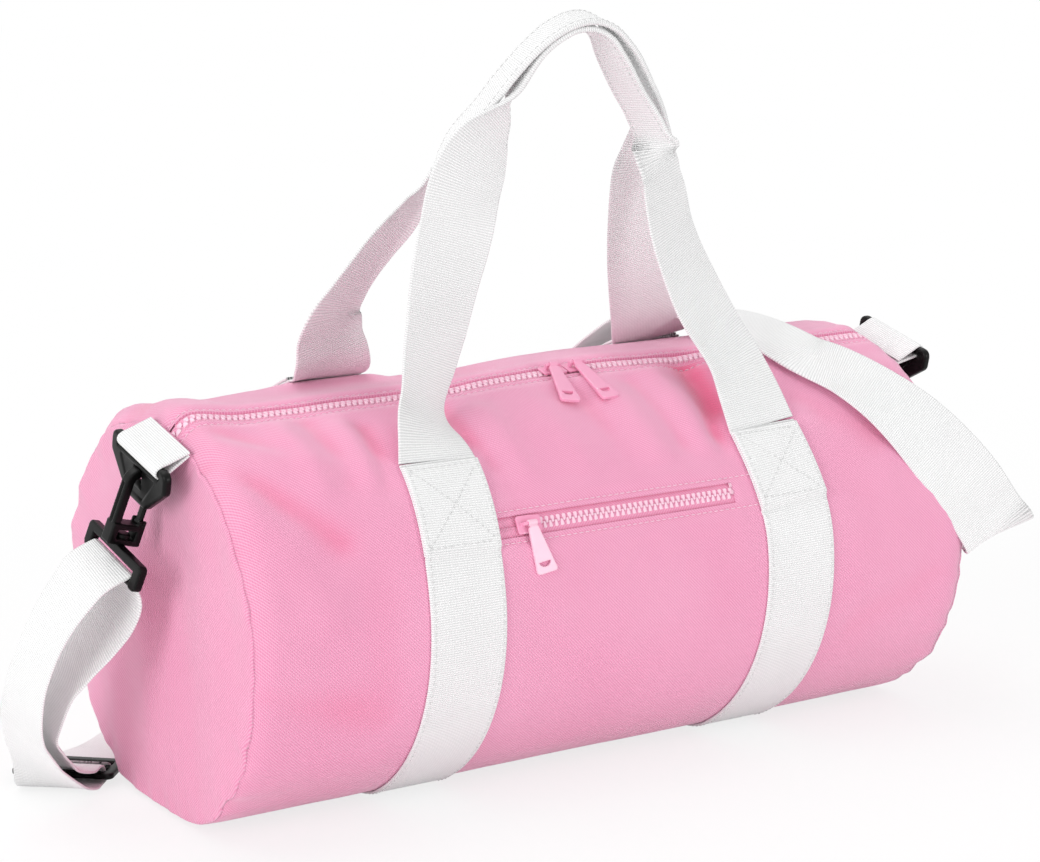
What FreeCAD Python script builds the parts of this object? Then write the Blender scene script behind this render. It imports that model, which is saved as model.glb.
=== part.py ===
import FreeCAD, Part
import math
import os

# A barrel bag: a fabric barrel that lies rolled a little to the front, with a
# zip along its top, a zipped front pocket, two webbing bands and handles, and
# a shoulder strap clipped to a tab at each end.
# X runs along the barrel, -Y is the front and Z is up. The origin is on the
# floor under the middle of the bag. Lengths are millimetres, angles degrees.

# Barrel
barrel_length = 500.0
barrel_radius = 123.0
resting_flat_depth = 8.0
fabric_thickness = 1.2
shoulder_length = 18.0
end_draw = 5.5
end_drop = 5.5
end_dome_height = 4.5
roll_angle = 13.5
layer_gap = 0.25
binding_width = 9.0
binding_thickness = 1.4

# Webbing bands and handles
webbing_width = 50.0
webbing_thickness = 1.6
band_spacing = 236.0
box_top_angle = 31.5
box_bottom_angle = 55.5
band_setback = 5.0
handle_roll_radius = 0.95
handle_crown_height = 330.0
handle_crown_lean = 15.0
handle_nest_gap = 3.6
grip_width = 25.0
grip_thickness = 3.4

# Zips
zip_slot_width = 14.4
tape_width = 11.0
tape_thickness = 0.9
tooth_pitch = 3.85
tooth_length = 1.6
tooth_reach = 3.2
tooth_overlap = 0.7
tooth_height = 2.6
tooth_spine = 0.8
slider_length = 16.0
slider_width = 10.5
slider_plate = 1.3
slider_gap = 0.2
slider_post_length = 3.0
slider_post_width = 2.6
bridge_height = 3.0
bridge_span = 7.4
bridge_post = 1.7
bridge_bar_radius = 1.0
pull_length = 30.0
pull_neck_width = 6.4
pull_end_width = 10.5
pull_thickness = 1.6
pull_sleeve_length = 5.6
pull_running_gap = 0.08
pull_window_radius = 3.0
pull_rest_gap = 0.6
main_slider_meeting = 8.5
main_slider_space = 1.0
main_pull_left_skew = -15.0
main_pull_right_skew = 3.0
pocket_angle = 65.0
pocket_left = -91.5
pocket_right = 75.0
pocket_slider_place = -71.0
pocket_pull_skew = 10.0
pocket_lining_depth = 11.0
pocket_lining_thickness = 0.8
pocket_lining_half_length = 92.6
pocket_lining_top_angle = 54.0
pocket_lining_bottom_angle = 112.0
tack_length = 2.2
tack_thickness = 0.8

# Tabs and clips
tab_outreach = 15.0
left_tab_drop = 9.5
right_tab_drop = -6.0
tab_seam_gap = 3.6
ring_bar_radius = 2.2
ring_width = 66.0
ring_ear_width = 6.8
ring_thickness = 3.6
ring_side_height = 9.0
ring_height = 27.0
ring_foot_width = 24.0
ring_corner_radius = 4.0
ring_slot_depth = 4.8
ring_hole_width = 10.0
ring_hole_top = 6.7
ring_hole_bottom = 17.3
ring_rim = 3.0
ring_recess = 0.7
hook_eye_radius = 5.2
hook_bar = 4.6
hook_depth = 6.0
hook_tilt = 15.0
hook_tip_angle = 195.0
hook_arm_length = 24.0
hook_groove_width = 2.0
hook_groove_depth = 1.0
collar_height = 12.0
collar_depth = 9.0
collar_window_height = 6.0
collar_window_width = 12.0
collar_foot = 3.0
swivel_radius = 2.4
swivel_running_gap = 0.08
swivel_head_radius = 4.2
swivel_head_height = 2.5
gate_thickness = 1.8
gate_depth = 5.0
gate_knuckle_radius = 1.8
gate_knuckle_height = 1.2
gate_pin_radius = 0.9
gate_pin_gap = 0.08
gate_cheek_height = 3.2
gate_tip_gap = 0.5
gate_barb = 2.6
buckle_width = 66.0
buckle_ear_width = 7.0
buckle_thickness = 4.6
buckle_bar_height = 5.0
buckle_slot_height = 5.2
buckle_bar_radius = 2.3
buckle_collar_gap = 1.0
buckle_corner_radius = 3.0

# Adjuster of the shoulder strap
adjuster_width = 62.0
adjuster_length = 30.0
adjuster_thickness = 3.0
adjuster_slot_length = 7.5
adjuster_lift = 4.6
adjuster_place = (-272.0, 83.0)
adjuster_heading = 48.0
adjuster_corner_radius = 4.0

# Shares of the shoulder: along it, and of the fall from barrel to end seam
shoulder_shares = [(0.0, 0.0), (0.5, 0.14), (0.84, 0.5), (1.0, 1.0)]

# Rows of a handle leg from its hinge to the crown: shares of the rise, of the
# half spacing of the bands, of the lean to the crown, of a quarter turn on the
# left and on the right leg, and of the fold from flat webbing to the grip
front_leg_shares = [
    (0.000, 1.000, 0.00, 0.00, 0.00, 0.0),
    (0.035, 1.000, 0.08, 0.05, 0.02, 0.0),
    (0.080, 0.985, 0.20, 0.30, 0.05, 0.0),
    (0.180, 0.930, 0.43, 0.86, 0.10, 0.0),
    (0.330, 0.780, 0.70, 0.86, 0.14, 0.0),
    (0.470, 0.675, 0.85, 0.82, 0.20, 0.0),
    (0.610, 0.585, 0.93, 0.82, 0.30, 0.0),
    (0.700, 0.520, 0.95, 0.88, 0.45, 0.1),
    (0.780, 0.440, 0.98, 0.96, 0.85, 0.7),
    (0.850, 0.345, 1.00, 1.00, 1.00, 1.0),
    (0.920, 0.235, 1.00, 1.00, 1.00, 1.0),
    (0.970, 0.125, 1.00, 1.00, 1.00, 1.0),
    (1.000, 0.000, 1.00, 1.00, 1.00, 1.0),
]
rear_leg_shares = [
    (0.000, 1.000, 0.00, 0.00, 0.00, 0.0),
    (0.035, 1.000, 0.14, 0.04, 0.02, 0.0),
    (0.080, 0.990, 0.26, 0.10, 0.04, 0.0),
    (0.160, 0.965, 0.36, 0.20, 0.08, 0.0),
    (0.260, 0.890, 0.41, 0.30, 0.10, 0.0),
    (0.440, 0.735, 0.46, 0.33, 0.12, 0.0),
    (0.600, 0.660, 0.52, 0.55, 0.14, 0.0),
    (0.700, 0.590, 0.60, 0.80, 0.22, 0.2),
    (0.780, 0.520, 0.76, 1.00, 0.65, 0.7),
    (0.850, 0.400, 0.90, 1.00, 1.00, 1.0),
    (0.920, 0.265, 0.98, 1.00, 1.00, 1.0),
    (0.970, 0.145, 1.00, 1.00, 1.00, 1.0),
    (1.000, 0.000, 1.00, 1.00, 1.00, 1.0),
]

# Route of the shoulder strap: centre of the webbing and the direction of its
# width. It starts on the adjuster's middle bar, runs up the inside of the
# left loop to the buckle, back down the outside and along the floor behind.
loop_inside_route = [
    (-291.0, 60.0, 20.0, -0.65, 0.72, 0.20),
    (-300.5, 48.0, 33.0, -0.33, 0.88, 0.30),
    (-307.5, 38.5, 45.5, -0.10, 0.95, 0.05),
    (-310.0, 32.0, 56.0, 0.00, 0.98, -0.10),
    (-308.5, 25.0, 69.0, 0.00, 0.99, -0.05),
    (-303.0, 16.0, 86.0, 0.00, 0.99, 0.00),
    (-296.5, 9.0, 97.0, 0.00, 0.99, 0.08),
    (-286.0, 1.0, 112.0, 0.00, 0.98, 0.15),
    (-278.5, -4.0, 125.0, 0.00, 0.975, 0.22),
    (-275.0, -7.0, 137.0, 0.00, 0.972, 0.233),
]
loop_outside_route = [
    (-297.0, -7.0, 149.0, -0.03, 0.98, 0.20),
    (-306.5, -3.0, 136.5, 0.00, 0.99, 0.12),
    (-314.5, 2.0, 122.0, 0.02, 0.99, 0.08),
    (-322.0, 8.0, 102.0, 0.00, 0.99, -0.05),
    (-326.0, 14.0, 82.0, 0.00, 0.98, -0.12),
    (-324.0, 24.0, 58.0, 0.02, 0.98, -0.15),
    (-314.0, 36.0, 36.0, -0.15, 0.97, 0.00),
    (-299.0, 49.0, 15.5, -0.50, 0.85, 0.10),
    (-290.0, 60.0, 4.2, -0.75, 0.66, 0.00),
]
back_route = [
    (-232.0, 108.0, 1.2, 0.64, -0.77, 0.0),
    (-190.0, 138.0, 1.2, 0.45, -0.89, 0.0),
    (-130.0, 157.0, 1.2, 0.18, -0.98, 0.0),
    (-80.0, 164.0, 1.2, 0.05, -0.99, 0.0),
    (-40.0, 163.0, 3.0, 0.00, -0.99, 0.0),
    (-8.0, 160.0, 16.0, -0.02, -0.99, 0.0),
    (20.0, 156.0, 42.0, 0.02, -0.98, -0.10),
    (42.0, 149.0, 74.0, 0.45, -0.75, -0.30),
    (62.0, 140.0, 110.0, 0.86, -0.02, -0.44),
    (82.0, 127.0, 152.0, 0.90, 0.11, -0.40),
    (102.0, 110.0, 192.0, 0.89, 0.24, -0.36),
    (126.0, 87.0, 227.0, 0.84, 0.44, -0.24),
    (150.0, 56.0, 250.0, 0.84, 0.52, -0.12),
    (169.0, 22.0, 255.0, 0.86, 0.50, 0.00),
    (176.0, -16.0, 250.0, 0.86, 0.49, 0.10),
    (179.0, -50.0, 234.0, 0.84, 0.50, 0.20),
]
front_route = [
    (276.0, -130.0, 114.0, 0.92, -0.26, 0.30),
    (285.0, -112.0, 116.0, 0.93, -0.18, 0.24),
    (291.0, -84.0, 122.0, 0.92, 0.06, 0.10),
    (294.0, -54.0, 130.0, 0.82, 0.45, -0.16),
    (293.0, -31.0, 140.0, 0.52, 0.82, -0.12),
    (288.5, -18.0, 152.0, 0.16, 0.97, 0.14),
]
end_route = [
    (284.4, -16.6, 150.0, 0.16, 0.97, 0.14),
    (289.0, -29.0, 136.0, 0.50, 0.83, -0.10),
]
wrap_steps = 6
left_wrap_start = 190.0
left_wrap_end = 60.0
right_wrap_start = -25.0
right_wrap_end = 200.0
front_run_start_angle = 30.0
front_run_end_angle = 84.0
front_run_steps = 7
front_run_slope = 0.69
front_run_place = 178.0
front_run_height = 3.2

# Sizes that follow from those above
half_length = barrel_length / 2.0
straight_half = half_length - shoulder_length
end_radius = barrel_radius - end_draw
flat_level = barrel_radius - resting_flat_depth
axis_height = flat_level + layer_gap + webbing_thickness
band_half_spacing = band_spacing / 2.0
tail_radius = barrel_radius + layer_gap
lap_radius = tail_radius + webbing_thickness + layer_gap
hinge_radius = tail_radius + handle_roll_radius
tape_inset = fabric_thickness + layer_gap
tape_inner = tooth_reach + layer_gap
tape_outer = tape_inner + tape_width
chain_top = barrel_radius + layer_gap
slider_top = chain_top + slider_gap + slider_plate
bridge_level = slider_top + bridge_height
ring_reach = ring_hole_bottom
gate_place = hook_eye_radius + hook_bar / 2.0
collar_half_width = hook_eye_radius + hook_bar
collar_bottom = hook_arm_length + collar_height
buckle_top = collar_bottom + buckle_collar_gap
buckle_bar_drop = (buckle_top + buckle_bar_height + buckle_slot_height
                   + buckle_bar_radius)
seam_reach = half_length + tab_seam_gap
seam_height = end_radius - end_drop
clear_cut = 4.0 * barrel_radius

X_AXIS = FreeCAD.Vector(1, 0, 0)
Y_AXIS = FreeCAD.Vector(0, 1, 0)
Z_AXIS = FreeCAD.Vector(0, 0, 1)
CENTRE = FreeCAD.Vector(0, 0, 0)


def vec(x, y, z):
    return FreeCAD.Vector(x, y, z)


def sine(angle):
    return math.sin(math.radians(angle))


def cosine(angle):
    return math.cos(math.radians(angle))


def box(x0, x1, y0, y1, z0, z1):
    return Part.makeBox(x1 - x0, y1 - y0, z1 - z0, vec(x0, y0, z0))


def rod(radius, start, end):
    way = end - start
    return Part.makeCylinder(radius, way.Length, start, way)


def turned(shape, angle, axis=X_AXIS, centre=CENTRE):
    copy = shape.copy()
    copy.rotate(centre, axis, angle)
    return copy


def moved(shape, x, y, z):
    copy = shape.copy()
    copy.translate(vec(x, y, z))
    return copy


def on_floor(shape):
    """From the barrel's axis to the floor, for pieces that lie level."""
    return moved(shape, 0.0, 0.0, axis_height)


def seated(shape):
    """From the bag's own frame, zip uppermost, to the rolled bag on the floor."""
    return on_floor(turned(shape, roll_angle))


def around(x, radius, angle, drop=0.0):
    """A point of the barrel, the angle measured from the top to the front."""
    return vec(x, -radius * sine(angle), radius * cosine(angle) - drop)


def arc_round(x, radius, start, end, drop=0.0):
    middle = (start + end) / 2.0
    points = [around(x, radius, angle, drop) for angle in (start, middle, end)]
    return Part.Arc(*points).toShape()


def ring_sector(x0, x1, inner, outer, start, end):
    """A block of the shell between two radii and two angles."""
    edges = [
        arc_round(x0, outer, start, end),
        Part.makeLine(around(x0, outer, end), around(x0, inner, end)),
        arc_round(x0, inner, end, start),
        Part.makeLine(around(x0, inner, start), around(x0, outer, start)),
    ]
    return Part.Face(Part.Wire(edges)).extrude(vec(x1 - x0, 0.0, 0.0))


def bag_section(x, radius, drop, inset):
    """The barrel's outline at x: a circle with the flat that it rests on."""
    inner = radius - inset
    level = flat_level - inset
    corner = math.degrees(math.acos((drop - level) / inner))
    stops = [-corner, -corner / 2.0, 0.0, corner / 2.0, corner]
    edges = [arc_round(x, inner, a, b, drop) for a, b in zip(stops, stops[1:])]
    edges.append(Part.makeLine(around(x, inner, corner, drop),
                               around(x, inner, -corner, drop)))
    return Part.Wire(edges)


def shoulder_section(side, along, fall, inset):
    x = side * (straight_half + shoulder_length * along)
    radius = barrel_radius - end_draw * fall
    return bag_section(x, radius, end_drop * fall, inset)


def barrel_body(inset):
    """The full barrel, all its faces moved in by the inset."""
    straight = Part.Face(bag_section(-straight_half, barrel_radius, 0.0, inset))
    body = straight.extrude(vec(2.0 * straight_half, 0.0, 0.0))
    for side in (-1, 1):
        wires = [shoulder_section(side, along, fall, inset)
                 for along, fall in shoulder_shares]
        body = body.fuse(Part.makeLoft(wires, True, True))
    return body


def rounded_outline(corners, radius):
    """A closed wire through the corners, each rounded off by an arc."""
    edges = []
    stops = []
    count = len(corners)
    for i, corner in enumerate(corners):
        back = (corners[i - 1] - corner).normalize()
        ahead = (corners[(i + 1) % count] - corner).normalize()
        half = back.getAngle(ahead) / 2.0
        run = radius / math.tan(half)
        middle = (back + ahead).normalize() * (radius / math.sin(half) - radius)
        stops.append((corner + back * run, corner + middle, corner + ahead * run))
    for i, (start, middle, end) in enumerate(stops):
        edges.append(Part.Arc(start, middle, end).toShape())
        edges.append(Part.makeLine(end, stops[(i + 1) % count][0]))
    return Part.Wire(edges)


def plate(corners, radius, thickness, axis):
    """A plate with rounded corners, half its thickness each side of them."""
    face = Part.Face(rounded_outline(corners, radius))
    face.translate(axis * (-thickness / 2.0))
    return face.extrude(axis * thickness)


def belt(first, first_radius, second, second_radius, depth):
    """A belt's outline round two circles in the XZ plane, as deep along Y."""
    way = second - first
    reach = way.Length
    heading = math.degrees(math.atan2(way.z, way.x))
    spread = 90.0 + math.degrees(math.asin((second_radius - first_radius) / reach))

    def rim(centre, radius, angle):
        return centre + vec(radius * cosine(angle), 0.0, radius * sine(angle))

    high = heading + spread
    low = heading - spread
    edges = [
        Part.makeLine(rim(first, first_radius, high), rim(second, second_radius, high)),
        Part.Arc(rim(second, second_radius, high), rim(second, second_radius, heading),
                 rim(second, second_radius, low)).toShape(),
        Part.makeLine(rim(second, second_radius, low), rim(first, first_radius, low)),
        Part.Arc(rim(first, first_radius, low), rim(first, first_radius, heading + 180.0),
                 rim(first, first_radius, high)).toShape(),
    ]
    face = Part.Face(Part.Wire(edges))
    face.translate(Y_AXIS * (-depth / 2.0))
    return face.extrude(Y_AXIS * depth)


def smooth_rows(rows, steps):
    """Rows of numbers, with further rows on a smooth curve between them."""
    last = len(rows) - 1
    gaps = [(vec(*b[0:3]) - vec(*a[0:3])).Length for a, b in zip(rows, rows[1:])]
    rates = [[(d - c) / gap for c, d in zip(a, b)] for a, b, gap in zip(rows, rows[1:], gaps)]
    slopes = [rates[0]]
    for i in range(1, last):
        whole = gaps[i - 1] + gaps[i]
        slopes.append([(a * gaps[i] + b * gaps[i - 1]) / whole
                       for a, b in zip(rates[i - 1], rates[i])])
    slopes.append(rates[-1])
    result = []
    for i in range(last):
        for step in range(steps):
            t = step / steps
            blend = t * t * (3.0 - 2.0 * t)
            leave = t * (1.0 - t) * (1.0 - t) * gaps[i]
            arrive = -t * t * (1.0 - t) * gaps[i]
            result.append(tuple(a * (1.0 - blend) + b * blend + m * leave + n * arrive
                                for a, b, m, n in zip(rows[i], rows[i + 1],
                                                      slopes[i], slopes[i + 1])))
    result.append(tuple(rows[last]))
    return result


def facet(*corners):
    return Part.Face(Part.makePolygon(list(corners) + [corners[0]]))


def webbing(rows):
    """A strap through rows of centre, direction of width, width, thickness.

    Its faces are split the same way above and below, so a twist keeps the
    webbing as thick as it is."""
    rings = []
    last = len(rows) - 1
    for i, row in enumerate(rows):
        centre = vec(*row[0:3])
        ahead = vec(*rows[min(i + 1, last)][0:3])
        behind = vec(*rows[max(i - 1, 0)][0:3])
        way = (ahead - behind).normalize()
        across = vec(*row[3:6])
        across = (across - way * across.dot(way)).normalize()
        normal = way.cross(across)
        side = across * (row[6] / 2.0)
        rise = normal * (row[7] / 2.0)
        rings.append([centre - side - rise, centre - rise, centre + side - rise,
                      centre + side + rise, centre + rise, centre - side + rise])
    faces = [facet(*rings[0]), facet(*rings[-1])]
    for ring, after in zip(rings, rings[1:]):
        for i, corner in enumerate(ring):
            if i in (1, 2):
                faces.append(facet(ring[i - 1], corner, after[i]))
                faces.append(facet(ring[i - 1], after[i], after[i - 1]))
            else:
                faces.append(facet(corner, after[i], after[i - 1]))
                faces.append(facet(corner, after[i - 1], ring[i - 1]))
    skin = Part.makeShell(faces)
    skin.sewShape()
    body = Part.makeSolid(skin)
    return body if body.Volume > 0.0 else body.reversed()


pieces = {}

# Barrel, ends and seam bindings
zip_cut = turned(box(-clear_cut, clear_cut, -zip_slot_width / 2.0, zip_slot_width / 2.0,
                     barrel_radius / 2.0, clear_cut), roll_angle)
pocket_cut = turned(box(pocket_left, pocket_right, -zip_slot_width / 2.0,
                        zip_slot_width / 2.0, barrel_radius / 2.0, clear_cut), pocket_angle)
panel = barrel_body(0.0).cut(barrel_body(fabric_thickness))
panel = panel.cut(zip_cut).cut(pocket_cut)
pieces["barrel_panel"] = on_floor(panel)

binding_inset = tape_inset + tape_thickness + layer_gap
for name, side in (("left", -1), ("right", 1)):
    rim = half_length + layer_gap
    ball = (end_radius ** 2 + end_dome_height ** 2) / (2.0 * end_dome_height)
    centre = vec(side * (rim + end_dome_height - ball), 0.0, -end_drop)
    dome = Part.makeSphere(ball + fabric_thickness, centre)
    dome = dome.cut(Part.makeSphere(ball, centre))
    outline = Part.Face(bag_section(side * rim, end_radius, end_drop, 0.0))
    reach = 2.0 * end_dome_height
    dome = dome.common(outline.extrude(vec(side * reach, 0.0, 0.0)))
    pieces[name + "_end_panel"] = on_floor(dome)

    start = side * (half_length - binding_width)
    outer = Part.Face(bag_section(start, end_radius, end_drop, binding_inset))
    inner = Part.Face(bag_section(start, end_radius, end_drop,
                                  binding_inset + binding_thickness))
    strip = outer.cut(inner).extrude(vec(side * binding_width, 0.0, 0.0))
    pieces[name + "_seam_binding"] = on_floor(strip)


# Zips, built along the top of the barrel and turned to their places
tape_shell = barrel_body(tape_inset).cut(barrel_body(tape_inset + tape_thickness))


def zip_tape_zone(side, start, end, closed_beyond):
    """Where one tape lies. Past closed_beyond it meets the other tape."""
    low, high = sorted((side * tape_inner, side * tape_outer))
    zone = box(start, end, low, high, 0.0, clear_cut)
    if end > closed_beyond:
        low, high = sorted((side * layer_gap, side * tape_outer))
        zone = zone.fuse(box(closed_beyond, end, low, high, 0.0, clear_cut))
        zone = zone.fuse(box(start, -closed_beyond, low, high, 0.0, clear_cut))
    return zone


def zip_teeth(side, start, end, parted):
    """A row of moulded teeth on its spine, left out where the zip is parted."""
    outer = side * tooth_reach
    inner = side * (tooth_reach - tooth_spine)
    tip = -side * tooth_overlap
    shift = tooth_pitch / 2.0 if side > 0 else 0.0
    count = int((end - start - shift - tooth_length) / tooth_pitch) + 1
    points = [vec(start, outer, 0.0), vec(start, inner, 0.0)]
    for i in range(count):
        left = start + shift + i * tooth_pitch
        right = left + tooth_length
        if right > parted[0] and left < parted[1]:
            continue
        points.append(vec(left, inner, 0.0))
        points.append(vec(left, tip, 0.0))
        points.append(vec(right, tip, 0.0))
        points.append(vec(right, inner, 0.0))
    points.append(vec(end, inner, 0.0))
    points.append(vec(end, outer, 0.0))
    trimmed = [p for i, p in enumerate(points) if i == 0 or (p - points[i - 1]).Length > 0.0]
    face = Part.Face(Part.makePolygon(trimmed + trimmed[:1]))
    comb = face.extrude(vec(0.0, 0.0, tooth_height))
    return moved(comb, 0.0, 0.0, chain_top - tooth_height)


def zip_slider(place, nose):
    """A slider: two plates, the post that parts the teeth, and the bridge."""
    half = slider_length / 2.0
    wide = slider_width / 2.0
    narrow = pull_neck_width / 2.0 + slider_plate
    corners = [vec(-nose * half, -narrow, 0.0), vec(0.0, -wide, 0.0), vec(nose * half, -wide, 0.0),
               vec(nose * half, wide, 0.0), vec(0.0, wide, 0.0), vec(-nose * half, narrow, 0.0)]
    shell = plate(corners, slider_plate, slider_plate, Z_AXIS)
    top = moved(shell, 0.0, 0.0, slider_top - slider_plate / 2.0)
    under = chain_top - tooth_height - slider_gap - slider_plate / 2.0
    bottom = moved(shell, 0.0, 0.0, under)
    post_end = nose * (half - slider_plate)
    low, high = sorted((post_end, post_end - nose * slider_post_length))
    post = box(low, high, -slider_post_width / 2.0, slider_post_width / 2.0, under, slider_top)
    body = top.fuse(bottom).fuse(post)
    inside = bridge_span / 2.0
    outside = inside + bridge_post
    for low, high in ((-outside, -inside), (inside, outside)):
        body = body.fuse(box(low, high, -bridge_bar_radius, bridge_bar_radius,
                             slider_top - slider_plate / 2.0, bridge_level))
    bar = rod(bridge_bar_radius, vec(-outside, 0.0, bridge_level), vec(outside, 0.0, bridge_level))
    return moved(body.fuse(bar), place, 0.0, 0.0)


def zip_pull(place, skew):
    """A flat pull on the bridge, lying forward until its end meets the fabric."""
    bore = bridge_bar_radius + pull_running_gap
    sleeve_half = pull_sleeve_length / 2.0
    neck = pull_neck_width / 2.0
    end = pull_end_width / 2.0
    start = bore + pull_thickness / 2.0
    corners = [vec(-neck, -start, 0.0), vec(-end, -pull_length, 0.0),
               vec(end, -pull_length, 0.0), vec(neck, -start, 0.0)]
    blade = plate(corners, pull_thickness, pull_thickness, Z_AXIS)
    middle = vec(0.0, -pull_length + end + pull_window_radius / 2.0, -pull_thickness)
    window = Part.makeCylinder(pull_window_radius, 2.0 * pull_thickness, middle)
    half_cut = box(-end, end, middle.y, 0.0, -pull_thickness, pull_thickness)
    blade = turned(blade.cut(window.cut(half_cut)), skew, Z_AXIS)
    sleeve = rod(bore + pull_thickness / 2.0, vec(-sleeve_half, 0.0, 0.0), vec(sleeve_half, 0.0, 0.0))
    hollow = rod(bore, vec(-pull_length, 0.0, 0.0), vec(pull_length, 0.0, 0.0))
    body = blade.fuse(sleeve).cut(hollow)
    reach = pull_length * cosine(skew)
    rest_level = math.sqrt(barrel_radius ** 2 - reach ** 2) + pull_rest_gap + pull_thickness / 2.0
    tilt = math.degrees(math.asin((bridge_level - rest_level) / pull_length))
    return moved(turned(body, tilt), place, 0.0, bridge_level)


def zip_set(names, start, end, closed_beyond, teeth_start, teeth_end, parted, angle):
    """Both tapes and both rows of teeth of one zip."""
    for side, name in zip((-1, 1), names):
        zone = turned(zip_tape_zone(side, start, end, closed_beyond), angle)
        pieces[name + "_tape"] = on_floor(tape_shell.common(zone))
        teeth = zip_teeth(side, teeth_start, teeth_end, parted)
        pieces[name + "_teeth"] = on_floor(turned(teeth, angle))


slider_step = (slider_length + main_slider_space) / 2.0
post_reach = slider_plate + slider_post_length + tooth_length
parted_half = main_slider_space / 2.0 + post_reach
zip_set(("front_zip", "rear_zip"), -half_length, half_length, straight_half,
        -straight_half, straight_half,
        (main_slider_meeting - parted_half, main_slider_meeting + parted_half), roll_angle)
for name, nose, skew in (("left", 1, main_pull_left_skew), ("right", -1, main_pull_right_skew)):
    place = main_slider_meeting - nose * slider_step
    pieces["main_slider_" + name] = seated(zip_slider(place, nose))
    pieces["main_pull_" + name] = seated(zip_pull(place, skew))

pocket_chain_start = pocket_slider_place - slider_length / 2.0 + post_reach
zip_set(("pocket_lower_zip", "pocket_upper_zip"), pocket_left, pocket_right + tack_length,
        half_length, pocket_chain_start, pocket_right - tack_length,
        (pocket_left, pocket_left), pocket_angle)
pieces["pocket_slider"] = on_floor(turned(zip_slider(pocket_slider_place, -1), pocket_angle))
pieces["pocket_pull"] = on_floor(turned(zip_pull(pocket_slider_place, pocket_pull_skew),
                                        pocket_angle))

slot_spread = math.degrees(zip_slot_width / 2.0 / barrel_radius)
tack_foot = barrel_radius + layer_gap
pieces["pocket_end_tack"] = on_floor(ring_sector(
    pocket_right + layer_gap, pocket_right + layer_gap + tack_length,
    tack_foot, tack_foot + tack_thickness,
    pocket_angle - slot_spread, pocket_angle + slot_spread))

lining_top = barrel_radius - fabric_thickness - 2.0 * layer_gap
lining_foot = barrel_radius - fabric_thickness - pocket_lining_depth
lining_edge = math.degrees(pocket_lining_thickness / lining_foot)
lining_half = pocket_lining_half_length
tray = ring_sector(-lining_half, lining_half, lining_foot, lining_top,
                   pocket_lining_top_angle, pocket_lining_bottom_angle)
inside_half = lining_half - pocket_lining_thickness
hollow = ring_sector(-inside_half, inside_half, lining_foot + pocket_lining_thickness,
                     barrel_radius, pocket_lining_top_angle + lining_edge,
                     pocket_lining_bottom_angle - lining_edge)
pieces["pocket_lining"] = on_floor(tray.cut(hollow))


# Bands: level on the floor, lapped over the handle tails at their box stitching
def band_path(radius, lap, level):
    """The band's line from the front box top round the bottom to the rear."""
    corner = math.degrees(math.acos(-level / radius))
    step = math.degrees(webbing_thickness / radius)
    setback = math.degrees(band_setback / radius)
    front_top = roll_angle + box_top_angle + setback
    front_bottom = roll_angle + box_bottom_angle
    rear_top = roll_angle - box_top_angle - setback
    rear_bottom = roll_angle - box_bottom_angle
    return [
        arc_round(0.0, lap, front_top, front_bottom),
        Part.makeLine(around(0.0, lap, front_bottom), around(0.0, radius, front_bottom + step)),
        arc_round(0.0, radius, front_bottom + step, corner),
        Part.makeLine(around(0.0, radius, corner), around(0.0, radius, -corner)),
        arc_round(0.0, radius, -corner, rear_bottom - step),
        Part.makeLine(around(0.0, radius, rear_bottom - step), around(0.0, lap, rear_bottom)),
        arc_round(0.0, lap, rear_bottom, rear_top),
    ]


def band():
    inner = band_path(tail_radius, lap_radius, flat_level + layer_gap)
    outer = band_path(tail_radius + webbing_thickness, lap_radius + webbing_thickness,
                      flat_level + layer_gap + webbing_thickness)
    caps = [
        Part.makeLine(inner[0].Vertexes[0].Point, outer[0].Vertexes[0].Point),
        Part.makeLine(inner[-1].Vertexes[-1].Point, outer[-1].Vertexes[-1].Point),
    ]
    outline = Part.Wire(Part.__sortEdges__(inner + outer + caps))
    strip = Part.Face(outline).extrude(vec(webbing_width, 0.0, 0.0))
    return moved(strip, -webbing_width / 2.0, 0.0, 0.0)


def handle_tail(facing, side):
    """One sewn end of a handle, under the box of a band."""
    start = box_top_angle + math.degrees((webbing_thickness + layer_gap) / tail_radius)
    end = box_bottom_angle - math.degrees(webbing_thickness / tail_radius)
    low, high = sorted((facing * start, facing * end))
    place = side * band_half_spacing
    return ring_sector(place - webbing_width / 2.0, place + webbing_width / 2.0,
                       tail_radius, tail_radius + webbing_thickness, low, high)


def handle(facing, shares, crown_height):
    """One handle in the bag's frame, from hinge line to hinge line."""
    foot_lean = -facing * hinge_radius * sine(box_top_angle)
    foot_height = hinge_radius * cosine(box_top_angle)
    rise = crown_height - foot_height
    lean = handle_crown_lean - foot_lean

    def leg(side):
        rows = []
        for up, spread, forward, left_turn, right_turn, fold in shares:
            turn = 90.0 * (left_turn if side < 0 else right_turn)
            rows.append((side * band_half_spacing * spread, foot_lean + lean * forward,
                         foot_height + rise * up, cosine(turn), side * facing * sine(turn), 0.0,
                         webbing_width + (grip_width - webbing_width) * fold,
                         webbing_thickness + (grip_thickness - webbing_thickness) * fold))
        return rows

    left = leg(-1)
    right = [row[0:3] + (-row[3], -row[4], -row[5]) + row[6:8] for row in reversed(leg(1))]
    middle = left[-1][0:3] + (0.0, left[-1][4], 0.0) + left[-1][6:8]
    right[0] = middle
    body = webbing(smooth_rows(left[:-1] + right, 3))
    for side in (-1, 1):
        place = side * band_half_spacing
        half = webbing_width / 2.0
        roll = rod(handle_roll_radius, vec(place - half, foot_lean, foot_height),
                   vec(place + half, foot_lean, foot_height))
        body = body.fuse(roll)
    return body


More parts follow.
